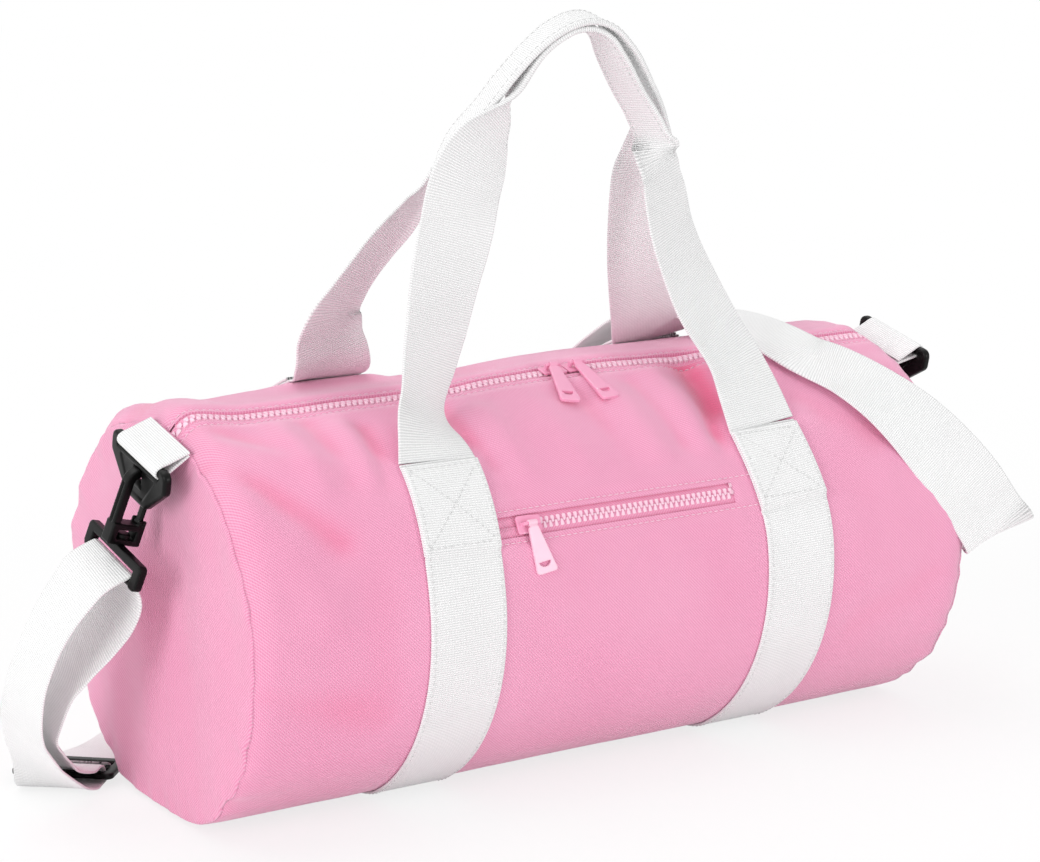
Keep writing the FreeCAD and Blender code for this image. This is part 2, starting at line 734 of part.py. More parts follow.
for name, side in (("left", -1), ("right", 1)):
    pieces[name + "_band"] = on_floor(moved(band(), side * band_half_spacing, 0.0, 0.0))
    pieces["front_" + name + "_handle_end"] = seated(handle_tail(1, side))
    pieces["rear_" + name + "_handle_end"] = seated(handle_tail(-1, side))
pieces["front_handle"] = seated(handle(1, front_leg_shares, handle_crown_height))
pieces["rear_handle"] = seated(handle(-1, rear_leg_shares,
                                      handle_crown_height + grip_thickness + handle_nest_gap))


# Tabs and clips, built outward along +X with the ring's bar at the origin
def tab_loop(drop):
    """The webbing loop, sewn flat at the seam and open round the ring's bar."""
    seam = vec(-tab_outreach, 0.0, drop)
    bore = ring_bar_radius + layer_gap
    outer = belt(CENTRE, bore + webbing_thickness, seam, webbing_thickness, webbing_width)
    inner = belt(CENTRE, bore, seam, layer_gap / 2.0, clear_cut)
    return outer.cut(inner)


def clip_ring():
    half = ring_width / 2.0
    foot = ring_foot_width / 2.0
    inside = half - ring_ear_width
    corners = [vec(0.0, -half, ring_bar_radius), vec(0.0, half, ring_bar_radius),
               vec(0.0, half, -ring_side_height), vec(0.0, foot, -ring_height),
               vec(0.0, -foot, -ring_height), vec(0.0, -half, -ring_side_height)]
    body = plate(corners, ring_corner_radius, ring_thickness, X_AXIS)
    body = body.cut(box(-half, half, -inside, inside, -ring_slot_depth, half))
    recess_half = inside - ring_rim
    recess_foot = foot - ring_rim
    recess = [vec(0.0, -recess_half, -ring_slot_depth - ring_rim / 2.0),
              vec(0.0, recess_half, -ring_slot_depth - ring_rim / 2.0),
              vec(0.0, recess_foot, -ring_height + ring_rim),
              vec(0.0, -recess_foot, -ring_height + ring_rim)]
    hollow = plate(recess, ring_rim / 2.0, ring_thickness, X_AXIS)
    for side in (-1, 1):
        body = body.cut(moved(hollow, side * (ring_thickness - ring_recess), 0.0, 0.0))
    hole = ring_hole_width / 2.0
    body = body.cut(box(-half, half, -hole, hole, -ring_hole_bottom, -ring_hole_top))
    body = body.fuse(rod(ring_thickness / 2.0, vec(0.0, -hole, -ring_hole_bottom),
                         vec(0.0, hole, -ring_hole_bottom)))
    return body.fuse(rod(ring_bar_radius, vec(0.0, -inside, 0.0), vec(0.0, inside, 0.0)))


def clip_hook():
    """The hook about its pivot: curled tip, grooved arm and windowed collar."""
    eye = hook_eye_radius
    rim = eye + hook_bar
    wedge = [CENTRE, vec(2.0 * rim, 0.0, 0.0), vec(2.0 * rim, 0.0, 2.0 * rim),
             vec(-2.0 * rim, 0.0, 2.0 * rim),
             vec(2.0 * rim * cosine(hook_tip_angle), 0.0, 2.0 * rim * sine(hook_tip_angle)), CENTRE]
    zone = Part.Face(Part.makePolygon(wedge)).extrude(Y_AXIS * hook_depth)
    half = hook_depth / 2.0
    curl = rod(rim, vec(0.0, 0.0, 0.0), vec(0.0, hook_depth, 0.0))
    curl = curl.cut(rod(eye, vec(0.0, 0.0, 0.0), vec(0.0, hook_depth, 0.0))).common(zone)
    body = moved(curl, 0.0, -half, 0.0)
    body = body.fuse(box(eye, rim, -half, half, -hook_arm_length - collar_foot, 0.0))
    deep = collar_depth / 2.0
    collar = box(-rim, rim, -deep, deep, -collar_bottom, -hook_arm_length)
    window_half = collar_window_width / 2.0
    window_foot = -collar_bottom + collar_foot
    collar = collar.cut(box(-window_half, window_half, -rim, rim, window_foot,
                            window_foot + collar_window_height))
    hole = swivel_radius + swivel_running_gap
    collar = collar.cut(rod(hole, vec(0.0, 0.0, -collar_bottom - rim), vec(0.0, 0.0, window_foot)))
    body = body.fuse(collar)
    knuckle = -hook_arm_length + gate_knuckle_height
    seat = rod(gate_knuckle_radius + layer_gap, vec(-gate_place, -rim, knuckle),
               vec(-gate_place, rim, knuckle))
    body = body.cut(seat)
    cheek_inner = gate_depth / 2.0 + layer_gap
    for low, high in ((-deep, -cheek_inner), (cheek_inner, deep)):
        body = body.fuse(box(-rim, -eye, low, high, -hook_arm_length,
                             -hook_arm_length + gate_cheek_height))
    body = body.cut(rod(gate_pin_radius + gate_pin_gap, vec(-gate_place, -rim, knuckle),
                        vec(-gate_place, rim, knuckle)))
    groove = hook_groove_width / 2.0
    return body.cut(box(rim - hook_groove_depth, 2.0 * rim, -groove, groove, -hook_arm_length, 0.0))


def clip_gate():
    """The sprung gate, from its knuckle on the collar up to the hook's tip."""
    half = gate_depth / 2.0
    knuckle = -hook_arm_length + gate_knuckle_height
    rim = hook_eye_radius + hook_bar
    top = rim * sine(hook_tip_angle) - gate_tip_gap
    inner = -gate_place + gate_thickness / 2.0
    outer = -gate_place - gate_thickness / 2.0
    body = box(outer, inner, -half, half, knuckle, top)
    body = body.fuse(box(-rim, inner, -half, half, top - gate_barb, top))
    pin = collar_depth / 2.0
    body = body.fuse(rod(gate_pin_radius, vec(-gate_place, -pin, knuckle),
                         vec(-gate_place, pin, knuckle)))
    return body.fuse(rod(gate_knuckle_radius, vec(-gate_place, -half, knuckle),
                         vec(-gate_place, half, knuckle)))


def clip_buckle():
    """The strap's bar frame with the swivel post that turns in the collar."""
    half = buckle_width / 2.0
    inside = half - buckle_ear_width
    foot = -buckle_bar_drop - buckle_bar_radius
    corners = [vec(0.0, -half, -buckle_top), vec(0.0, half, -buckle_top),
               vec(0.0, half, foot), vec(0.0, -half, foot)]
    body = plate(corners, buckle_corner_radius, buckle_thickness, X_AXIS)
    slot_top = -buckle_top - buckle_bar_height
    body = body.cut(box(-half, half, -inside, inside, foot - half, slot_top))
    body = body.fuse(rod(buckle_bar_radius, vec(0.0, -inside, -buckle_bar_drop),
                         vec(0.0, inside, -buckle_bar_drop)))
    window_foot = -collar_bottom + collar_foot
    head_foot = window_foot + layer_gap
    body = body.fuse(rod(swivel_radius, vec(0.0, 0.0, slot_top + buckle_bar_height / 2.0),
                         vec(0.0, 0.0, head_foot)))
    return body.fuse(rod(swivel_head_radius, vec(0.0, 0.0, head_foot),
                         vec(0.0, 0.0, head_foot + swivel_head_height)))


def clip_place(shape, side, drop):
    """From the ring's bar to its place on the bag, mirrored on the left."""
    place = moved(shape, seam_reach + tab_outreach, 0.0, seam_height - drop)
    if side < 0:
        place = place.mirror(CENTRE, X_AXIS)
    return seated(place)


for name, side, drop in (("left", -1, left_tab_drop), ("right", 1, right_tab_drop)):
    pieces[name + "_tab_loop"] = clip_place(tab_loop(drop), side, drop)
    pieces[name + "_ring"] = clip_place(clip_ring(), side, drop)
    for part, shape in (("hook", clip_hook()), ("gate", clip_gate()), ("buckle", clip_buckle())):
        hung = moved(turned(shape, -hook_tilt, Y_AXIS), 0.0, 0.0, -ring_reach)
        pieces[name + "_" + part] = clip_place(hung, side, drop)


# Shoulder strap, in place on the floor and over the bag
def buckle_wrap(side, drop, start, end):
    """The webbing's way round a buckle's bar, as route rows."""
    reach = seam_reach + tab_outreach + buckle_bar_drop * sine(hook_tilt)
    height = seam_height - drop - ring_reach - buckle_bar_drop * cosine(hook_tilt)
    radius = buckle_bar_radius + layer_gap + webbing_thickness / 2.0
    rows = []
    for i in range(wrap_steps + 1):
        angle = start + (end - start) * i / wrap_steps
        out = reach + radius * cosine(angle)
        up = height + radius * sine(angle)
        rows.append((side * out, -up * sine(roll_angle), up * cosine(roll_angle) + axis_height,
                     0.0, cosine(roll_angle), sine(roll_angle)))
    return rows


def adjuster_row(along, height):
    """A route row at the adjuster, along the strap from its middle bar."""
    x = adjuster_place[0] + along * cosine(adjuster_heading)
    y = adjuster_place[1] + along * sine(adjuster_heading)
    return (x, y, height, -sine(adjuster_heading), cosine(adjuster_heading), 0.0)


def front_run():
    """The straight run of the strap down the front of the barrel."""
    rows = []
    radius = barrel_radius + front_run_height
    for i in range(front_run_steps + 1):
        share = i / front_run_steps
        angle = front_run_start_angle + (front_run_end_angle - front_run_start_angle) * share
        lap = barrel_radius * math.radians(angle - front_run_start_angle)
        point = around(front_run_place + front_run_slope * lap, radius, angle)
        tangent = around(0.0, 1.0, angle + 90.0)
        across = X_AXIS - tangent * front_run_slope
        rows.append((point.x, point.y, point.z + axis_height, across.x, across.y, across.z))
    return rows


middle_bar = adjuster_lift + adjuster_thickness / 2.0
over_bar = adjuster_lift + adjuster_thickness + webbing_thickness
under_bar = adjuster_lift - webbing_thickness
bar_row = adjuster_thickness / 2.0 + adjuster_slot_length / 2.0
slot_end = adjuster_thickness / 2.0 + adjuster_slot_length
edge_row = adjuster_length / 2.0
floor_row = webbing_thickness / 2.0 + layer_gap


def backwards(rows):
    """Route rows with the width's direction reversed."""
    return [row[0:3] + tuple(-part for part in row[3:6]) for row in rows]


start_rows = [adjuster_row(0.0, over_bar + layer_gap), adjuster_row(bar_row, middle_bar),
              adjuster_row(0.0, under_bar), adjuster_row(-bar_row, middle_bar),
              adjuster_row(-slot_end, over_bar + webbing_thickness),
              adjuster_row(-edge_row, over_bar + 2.0 * webbing_thickness)]
under_rows = [adjuster_row(-edge_row, floor_row), adjuster_row(0.0, floor_row),
              adjuster_row(edge_row, floor_row)]
left_wrap = buckle_wrap(-1, left_tab_drop, left_wrap_start, left_wrap_end)
right_wrap = buckle_wrap(1, right_tab_drop, right_wrap_start, right_wrap_end)
route = (start_rows + loop_inside_route + left_wrap + loop_outside_route + under_rows
         + backwards(back_route + front_run() + front_route + right_wrap + end_route))
strap_rows = [row + (webbing_width, webbing_thickness) for row in route]
pieces["shoulder_strap"] = webbing(smooth_rows(strap_rows, 3))


def adjuster():
    half = adjuster_width / 2.0
    reach = adjuster_length / 2.0
    corners = [vec(-reach, -half, 0.0), vec(reach, -half, 0.0),
               vec(reach, half, 0.0), vec(-reach, half, 0.0)]
    body = plate(corners, adjuster_corner_radius, adjuster_thickness, Z_AXIS)
    inside = (webbing_width + webbing_thickness) / 2.0
    bar = adjuster_thickness / 2.0
    for side in (-1, 1):
        low, high = sorted((side * bar, side * (bar + adjuster_slot_length)))
        body = body.cut(box(low, high, -inside, inside, -half, half))
    body = turned(body, adjuster_heading, Z_AXIS)
    return moved(body, adjuster_place[0], adjuster_place[1], middle_bar)


pieces["strap_adjuster"] = adjuster()

os.makedirs("parts", exist_ok=True)
for name, shape in pieces.items():
    solids = shape.Solids
    whole = solids[0] if len(solids) == 1 else shape
    whole.removeSplitter().exportStep("parts/" + name + ".step")
    print(name, len(solids), round(shape.Volume), shape.isValid())
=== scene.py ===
import bmesh
import bpy
import math
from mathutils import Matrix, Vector, noise


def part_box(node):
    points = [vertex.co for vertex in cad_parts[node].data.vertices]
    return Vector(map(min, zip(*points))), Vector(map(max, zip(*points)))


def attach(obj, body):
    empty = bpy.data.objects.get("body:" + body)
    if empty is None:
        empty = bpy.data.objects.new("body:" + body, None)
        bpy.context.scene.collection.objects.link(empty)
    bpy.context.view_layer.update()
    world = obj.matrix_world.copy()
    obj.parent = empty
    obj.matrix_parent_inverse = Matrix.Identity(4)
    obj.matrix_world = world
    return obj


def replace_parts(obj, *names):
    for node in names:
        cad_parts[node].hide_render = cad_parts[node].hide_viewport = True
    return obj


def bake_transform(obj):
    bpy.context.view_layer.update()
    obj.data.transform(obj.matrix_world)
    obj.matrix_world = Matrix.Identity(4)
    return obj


# A barrel bag in pink twill with white webbing, a zip along its top, a zipped
# front pocket and a shoulder strap clipped to a tab at each end.
# X runs along the barrel, -Y is the front and Z is up. Lengths are metres and
# angles degrees, measured round the barrel from its top to its front.

# Barrel
half_length = 0.250
barrel_radius = 0.123
flat_level = 0.115
axis_height = 0.11685
shoulder_length = 0.018
shoulder_power = 2.8
end_draw = 0.0055
end_drop = 0.0055
end_dome = 0.0032
end_roll = 0.0018
seam_depth = 0.0014
fabric = 0.0012
layer_gap = 0.00025
flat_blend = 0.008
flat_down_share = 0.5
grid_step = 0.0031
roll_angle = 13.5
rest_angle = 38.0
end_roll_steps = 4
end_step_share = 1.3
end_hub_share = 0.03

# Folds of the fabric
billow_size = 0.075
billow_height = 0.0016
crumple_size = 0.026
crumple_height = 0.00045
crumple_seed = (7.0, 3.0, 1.0)
pucker_pitch = 0.0170
pucker_height = 0.0026
pucker_reach = 0.014
fine_pucker_pitch = pucker_pitch / 2.3
fine_pucker_share = 0.35
end_pucker_share = 0.8
end_billow_share = 0.3
end_fold_share = 0.2
# Fold depth at which the painted shade of a hollow is full
painted_shade_depth = 0.0060
lip_roll = 0.0004
lip_stitch = 0.0032
lip_stitch_depth = 0.0006
lip_stitch_width = 0.0008
lip_puff = 0.0011
lip_puff_place = 0.0085
lip_puff_width = 0.0050
lip_lines = (0.0007, 0.0015, 0.0022, 0.0028, 0.0034, 0.0042, 0.0055, 0.0075, 0.0100)
band_press = 0.020
band_fade = 8.0

# Seeds of the puckers beside each end seam, coarse then fine, by side
barrel_pucker_seeds = {-1: ((5.0, 0.0), (5.0, 4.0)), 1: ((11.0, 0.0), (11.0, 4.0))}
end_pucker_seeds = {-1: ((5.0, 9.0), (-1.0, 2.0)), 1: ((11.0, 9.0), (1.0, 2.0))}

# Webbing bands and handles
webbing_width = 0.050
webbing_thickness = 0.0016
band_place = 0.118
box_top = 31.5
box_bottom = 55.5
box_step = 1.6
band_setback = 1.2
band_step = 1.2
grip_width = 0.025
grip_thickness = 0.0034
row_step = 0.0025

# Zips
slot_half = 0.0062
tape_inset = 0.0007
tape_inner = 0.0
tape_outer = 0.0140
tape_tuck = 0.0022
flush_inset = 0.0003
tape_thickness = 0.0009
tooth_pitch = 0.00385
tooth_reach = 0.0033
tooth_overlap = 0.0006
tooth_height = 0.0026
tooth_head = 0.00155
tooth_foot = 0.0021
tooth_shoulder = 0.0010
tooth_edge = 0.00030
tooth_top_share = 0.82
chain_lift = 0.00025
parted_from = 0.0015
parted_to = 0.0155
pocket_angle = 65.0
pocket_left = -0.0915
pocket_right = 0.075
pocket_chain_from = -0.073
pocket_chain_to = 0.0735
pocket_stitch_left = -0.093
pocket_stitch_right = 0.093
tack_length = 0.0022
tack_shares = (0.2, 0.5, 0.8)
tack_step = 1.0

# Stitches. Each is a tube with rings at shares of its length, whose size and
# lift are shares of its radius.
stitch_length = 0.0030
stitch_gap = 0.0012
stitch_radius = 0.00036
stitch_shares = ((0.0, 0.35, -0.6), (0.2, 0.95, 0.35), (0.5, 1.0, 0.6),
                 (0.8, 0.95, 0.35), (1.0, 0.35, -0.6))
stitch_corners = 6
edge_inset = 0.0026
box_line_steps = 30
least_length = 1e-9

# The front boxes hang askew, by side: along the barrel, and degrees down it
front_box_shifts = {-1: 0.0025, 1: -0.0065}
front_box_drops = {-1: -1.2, 1: 1.6}
front_box_sway = 36.0

# Pocket lining and bindings
inside_step = 3.0
lining_top = 54.0
lining_bottom = 112.0
lining_gap = 0.0012
lining_sag = 0.009
lining_rim = 0.015
lining_crumple = 0.0008
lining_crumple_arc = 0.002

# Tabs, clips and the adjuster
seam_reach = 0.2536
tab_outreach = 0.015
seam_height = 0.112
tab_bore = 0.00245
tab_shares = (0.0, 0.35, 0.7, 1.0)
left_tab_drop = 0.0095
right_tab_drop = -0.006
ring_reach = 0.0173
hook_tilt = 15.0
buckle_bar_drop = 0.0495
buckle_bar_radius = 0.0023
adjuster_place = (-0.272, 0.083)
adjuster_heading = 48.0
adjuster_lift = 0.0046
adjuster_thickness = 0.0030
adjuster_slot = 0.0075
adjuster_half = 0.015
clip_voxel = 0.00045
clip_swell = 0.00035
ring_swell = 0.00080
slider_voxel = 0.00022
slider_swell = 0.00005
pull_eye = 0.006
pull_grip = 0.014
main_pull_shares = (1.20, 1.28)
pocket_pull_shares = (1.35, 1.00)
mould_passes = 5
mould_round_share = 0.5
mould_kept_share = 0.4

# Weave and relief of the surfaces
twill_line = 0.0019
twill_pick = 0.0011
twill_relief = 0.00030
webbing_rib = 0.00135
webbing_column = 0.0019
webbing_relief = 0.0004
plastic_relief = 0.00008
thread_twist = 0.0007
thread_relief = 0.0001
floor_relief = 0.0001

# Noise of the surfaces, in waves to the metre: broad clouds and fine flecks
twill_clouds = 14.0
twill_flecks = 900.0
webbing_clouds = 30.0
webbing_flecks = 1200.0
plastic_clouds = 180.0
plastic_flecks = 2600.0
floor_clouds = 3.0
floor_flecks = 400.0
fleck_detail = 2.0

# Where each pattern turns from its darker to its paler colour
twill_cloud_shares = (0.25, 0.75)
twill_weave_shares = (0.1, 0.9)
webbing_cloud_shares = (0.3, 0.7)
webbing_weave_shares = (0.0, 0.5)
pale_edge_shares = (0.52, 0.62)

# How much each pattern shows
twill_line_share = 0.75
twill_weave_share = 0.65
twill_fleck_share = 0.16
# How far painted shade in the hollows turns the twill to a deep pink
twill_painted_shade_share = 0.8
webbing_column_share = 0.45
webbing_weave_share = 0.6
plastic_cloud_share = 0.12

# Roughness: its least value, and how much the noise adds
twill_rough_shares = (0.68, 0.2)
webbing_rough_shares = (0.58, 0.25)
plastic_rough_share = 0.18
thread_roughness = 0.55
floor_roughness = 0.9

# Camera, as fitted to the photograph
camera_place = (-0.9266, -1.4266, 0.55735)
camera_target = (-0.00424, 0.0, 0.19545)
camera_lens = 98.46
sensor_width = 36.0

# Stage and light: each lamp's aim, strength and spread
floor_size = 12.0
floor_white_share = 0.77
white = (1.0, 1.0, 1.0, 1.0)
world_strength = 0.60
lamps = {
    "key": ((-0.45, 0.88, -0.12), 0.54, 14.0),
    "top": ((0.15, -0.30, -1.0), 1.00, 60.0),
    "fill": ((1.0, 0.30, -0.30), 1.05, 32.0),
}

# Soft folds of the barrel: from and to along X and round the barrel, height
# (hollows below zero) and half width. The broad sags lie beside the main zip.
zip_sags = [
    (-0.205, 16.0, -0.075, 14.0, -0.0045, 0.024),
    (-0.195, -6.0, -0.040, -6.0, -0.0060, 0.024),
]
barrel_folds = [
    (-0.246, 34.0, -0.190, 62.0, -0.0022, 0.010),
    (-0.246, 42.0, -0.205, 80.0, 0.0018, 0.012),
    (-0.246, 28.0, -0.160, 44.0, 0.0016, 0.011),
    (-0.232, 22.0, -0.200, 34.0, -0.0020, 0.008),
    (-0.196, 24.0, -0.192, 47.0, 0.0022, 0.008),
    (-0.176, 22.0, -0.172, 46.0, -0.0022, 0.008),
    (-0.158, 26.0, -0.156, 46.0, 0.0018, 0.007),
    (-0.147, 28.0, -0.150, 48.0, -0.0032, 0.008),
    (-0.089, 24.0, -0.084, 46.0, -0.0028, 0.008),
    (-0.068, 28.0, -0.062, 50.0, 0.0020, 0.009),
    (-0.028, 27.0, -0.020, 50.0, 0.0017, 0.011),
    (0.002, 26.0, 0.010, 50.0, -0.0017, 0.010),
    (0.024, 25.0, 0.032, 50.0, 0.0020, 0.009),
    (0.044, 24.0, 0.052, 48.0, -0.0020, 0.008),
    (0.062, 22.0, 0.067, 50.0, 0.0022, 0.008),
    (0.092, 20.0, 0.084, 46.0, -0.0060, 0.011),
    (-0.060, 58.0, 0.060, 57.0, 0.0008, 0.010),
    (0.150, 40.0, 0.225, 62.0, -0.0016, 0.014),
    (0.160, 24.0, 0.240, 34.0, 0.0014, 0.013),
    (0.246, 44.0, 0.190, 66.0, 0.0012, 0.012),
    (-0.243, -12.0, -0.190, -26.0, -0.0034, 0.012),
    (-0.243, -30.0, -0.180, -50.0, 0.0022, 0.014),
    (-0.070, -22.0, 0.060, -26.0, -0.0010, 0.024),
    (-0.240, 100.0, -0.170, 112.0, -0.0012, 0.014),
    (-0.240, 122.0, -0.160, 130.0, 0.0012, 0.014),
    (0.235, 96.0, 0.170, 110.0, -0.0010, 0.014),
    (0.240, -40.0, 0.170, -64.0, -0.0016, 0.015),
    (0.100, -60.0, -0.090, -74.0, 0.0014, 0.020),
]

# Soft folds of the end panels: from and to as shares of the panel's radius to
# the front and up, their heights and their half width
end_fold_shares = [(-0.62, 0.62, -0.20, 0.90), (0.10, 0.95, 0.45, 0.55), (0.30, 0.30, 0.42, -0.75),
                   (-0.55, 0.10, -0.42, -0.70), (0.62, 0.60, 0.80, 0.05), (-0.10, 0.20, -0.05, -0.60)]
end_fold_heights = [-0.0030, 0.0020, -0.0016, 0.0018, -0.0012, 0.0010]
end_fold_width = 0.016

# Outline of webbing, as shares of its half width and half thickness
webbing_shares = [(-1.0, 0.0), (-0.985, 0.75), (-0.945, 1.0), (-0.5, 1.0), (0.0, 1.0), (0.5, 1.0),
                  (0.945, 1.0), (0.985, 0.75), (1.0, 0.0), (0.985, -0.75), (0.945, -1.0),
                  (0.5, -1.0), (0.0, -1.0), (-0.5, -1.0), (-0.945, -1.0), (-0.985, -0.75)]

# Rows of each handle from its left foot over the grip to its right foot:
# centre, direction of the width, and share of the fold from webbing to grip
front_handle_route = [
    (-0.1155, -0.0858, 0.2066, 1.00, 0.00, 0.00, 0.00),
    (-0.1150, -0.0790, 0.2180, 0.97, 0.19, -0.15, 0.00),
    (-0.1125, -0.0660, 0.2350, 0.83, 0.44, -0.34, 0.00),
    (-0.1040, -0.0600, 0.2600, 0.89, 0.32, -0.32, 0.00),
    (-0.0980, -0.0580, 0.2790, 0.92, 0.22, -0.31, 0.00),
    (-0.0925, -0.0560, 0.2990, 0.95, 0.12, -0.22, 0.00),
    (-0.0825, -0.0540, 0.3308, 0.99, 0.00, -0.11, 0.00),
    (-0.0750, -0.0530, 0.3570, 1.00, 0.02, -0.07, 0.02),
    (-0.0672, -0.0530, 0.3724, 0.99, 0.12, -0.06, 0.08),
    (-0.0588, -0.0531, 0.3850, 0.94, 0.32, -0.10, 0.30),
    (-0.0522, -0.0538, 0.3945, 0.84, 0.53, -0.08, 0.66),
    (-0.0478, -0.0545, 0.4030, 0.56, 0.82, -0.06, 0.92),
    (-0.0443, -0.0557, 0.4108, 0.25, 0.97, 0.00, 1.00),
    (-0.0400, -0.0574, 0.4196, 0.15, 0.99, 0.02, 1.00),
    (-0.0325, -0.0598, 0.4304, 0.15, 0.99, 0.04, 1.00),
    (-0.0220, -0.0619, 0.4390, 0.16, 0.98, 0.08, 1.00),
    (-0.0096, -0.0626, 0.4442, 0.16, 0.98, 0.11, 1.00),
    (0.0019, -0.0626, 0.4440, 0.14, 0.98, 0.11, 1.00),
    (0.0116, -0.0617, 0.4385, 0.04, 1.00, 0.05, 1.00),
    (0.0207, -0.0590, 0.4266, -0.14, 0.99, -0.02, 1.00),
    (0.0355, -0.0545, 0.4061, -0.23, 0.97, -0.03, 1.00),
    (0.0490, -0.0533, 0.3874, -0.26, 0.96, -0.01, 0.92),
    (0.0556, -0.0530, 0.3755, -0.34, 0.93, -0.10, 0.86),
    (0.0574, -0.0527, 0.3715, -0.72, 0.68, -0.05, 0.84),
    (0.0580, -0.0524, 0.3672, -0.98, 0.12, 0.02, 0.84),
    (0.0590, -0.0525, 0.3625, -0.96, -0.26, 0.03, 0.58),
    (0.0612, -0.0528, 0.3555, -0.90, -0.42, 0.05, 0.16),
    (0.0640, -0.0540, 0.3420, -0.90, -0.43, -0.03, 0.00),
    (0.0680, -0.0560, 0.3200, -0.89, -0.42, -0.12, 0.00),
    (0.0760, -0.0580, 0.2980, -0.90, -0.39, -0.18, 0.00),
    (0.0855, -0.0600, 0.2780, -0.92, -0.34, -0.20, 0.00),
    (0.0960, -0.0640, 0.2590, -0.93, -0.33, -0.15, 0.00),
    (0.1045, -0.0720, 0.2400, -0.95, -0.28, -0.11, 0.00),
    (0.1090, -0.0810, 0.2205, -0.99, -0.12, -0.04, 0.00),
    (0.1115, -0.0906, 0.2020, -1.00, 0.00, 0.00, 0.00),
]
rear_handle_route = [
    (-0.1180, 0.0384, 0.2350, 1.00, 0.00, 0.00, 0.00),
    (-0.1188, 0.0325, 0.2372, 1.00, 0.02, -0.01, 0.00),
    (-0.1210, 0.0258, 0.2412, 1.00, 0.05, -0.03, 0.00),
    (-0.1250, 0.0185, 0.2510, 0.99, 0.12, -0.06, 0.00),
    (-0.1280, 0.0143, 0.2640, 0.96, 0.26, -0.12, 0.00),
    (-0.1278, 0.0085, 0.2775, 0.91, 0.41, -0.10, 0.00),
    (-0.1215, 0.0038, 0.2909, 0.82, 0.55, -0.18, 0.00),
    (-0.1127, -0.0005, 0.3048, 0.75, 0.62, -0.26, 0.00),
    (-0.1030, -0.0045, 0.3179, 0.70, 0.64, -0.33, 0.00),
    (-0.0915, -0.0090, 0.3315, 0.66, 0.67, -0.36, 0.00),
    (-0.0830, -0.0155, 0.3485, 0.55, 0.75, -0.36, 0.06),
    (-0.0776, -0.0236, 0.3665, 0.40, 0.89, -0.23, 0.30),
    (-0.0698, -0.0342, 0.3837, 0.24, 0.97, -0.10, 0.70),
    (-0.0598, -0.0443, 0.3990, 0.15, 0.99, -0.01, 1.00),
    (-0.0473, -0.0558, 0.4202, 0.12, 0.99, 0.00, 1.00),
    (-0.0328, -0.0612, 0.4361, 0.13, 0.99, 0.06, 1.00),
    (-0.0205, -0.0630, 0.4445, 0.14, 0.98, 0.14, 1.00),
    (-0.0086, -0.0641, 0.4487, 0.16, 0.97, 0.17, 1.00),
    (0.0033, -0.0641, 0.4490, 0.15, 0.97, 0.17, 1.00),
    (0.0140, -0.0634, 0.4448, 0.12, 0.98, 0.13, 1.00),
    (0.0268, -0.0607, 0.4340, 0.06, 0.99, 0.10, 1.00),
    (0.0466, -0.0516, 0.4115, 0.02, 0.99, 0.11, 1.00),
    (0.0650, -0.0390, 0.3889, -0.02, 1.00, 0.07, 0.98),
    (0.0726, -0.0275, 0.3735, -0.50, 0.86, 0.02, 0.86),
    (0.0750, -0.0213, 0.3629, -0.86, 0.47, 0.06, 0.60),
    (0.0764, -0.0163, 0.3516, -0.97, 0.05, 0.14, 0.14),
    (0.0799, -0.0089, 0.3318, -0.99, -0.02, 0.10, 0.00),
    (0.0842, -0.0025, 0.3114, -0.99, 0.04, 0.08, 0.00),
    (0.0888, 0.0027, 0.2943, -0.98, 0.10, 0.05, 0.00),
    (0.0951, 0.0094, 0.2749, -0.99, 0.11, 0.03, 0.00),
    (0.1066, 0.0216, 0.2497, -0.98, 0.14, 0.00, 0.00),
    (0.1130, 0.0300, 0.2410, -0.99, 0.06, 0.00, 0.00),
    (0.1180, 0.0384, 0.2350, -1.00, 0.00, 0.00, 0.00),
]

# Route of the shoulder strap: centre of the webbing and the direction of its
# width. It starts on the adjuster's middle bar, runs up the inside of the
# left loop to the buckle, back down the outside and along the floor behind.
loop_inside_route = [
    (-0.2910, 0.0600, 0.0200, -0.65, 0.72, 0.20),
    (-0.3005, 0.0480, 0.0330, -0.33, 0.88, 0.30),
    (-0.3075, 0.0385, 0.0455, -0.10, 0.95, 0.05),
    (-0.3100, 0.0320, 0.0560, 0.00, 0.98, -0.10),
    (-0.3085, 0.0250, 0.0690, 0.00, 0.99, -0.05),
    (-0.3030, 0.0160, 0.0860, 0.00, 0.99, 0.00),
    (-0.2965, 0.0090, 0.0970, 0.00, 0.99, 0.08),
    (-0.2860, 0.0010, 0.1120, 0.00, 0.98, 0.15),
    (-0.2785, -0.0040, 0.1250, 0.00, 0.975, 0.22),
    (-0.2750, -0.0070, 0.1370, 0.00, 0.972, 0.233),
]
loop_outside_route = [
    (-0.2970, -0.0070, 0.1490, -0.03, 0.98, 0.20),
    (-0.3065, -0.0030, 0.1365, 0.00, 0.99, 0.12),
    (-0.3145, 0.0020, 0.1220, 0.02, 0.99, 0.08),
    (-0.3220, 0.0080, 0.1020, 0.00, 0.99, -0.05),
    (-0.3260, 0.0140, 0.0820, 0.00, 0.98, -0.12),
    (-0.3240, 0.0240, 0.0580, 0.02, 0.98, -0.15),
    (-0.3140, 0.0360, 0.0360, -0.15, 0.97, 0.00),
    (-0.2990, 0.0490, 0.0155, -0.50, 0.85, 0.10),
    (-0.2900, 0.0600, 0.0042, -0.75, 0.66, 0.00),
]
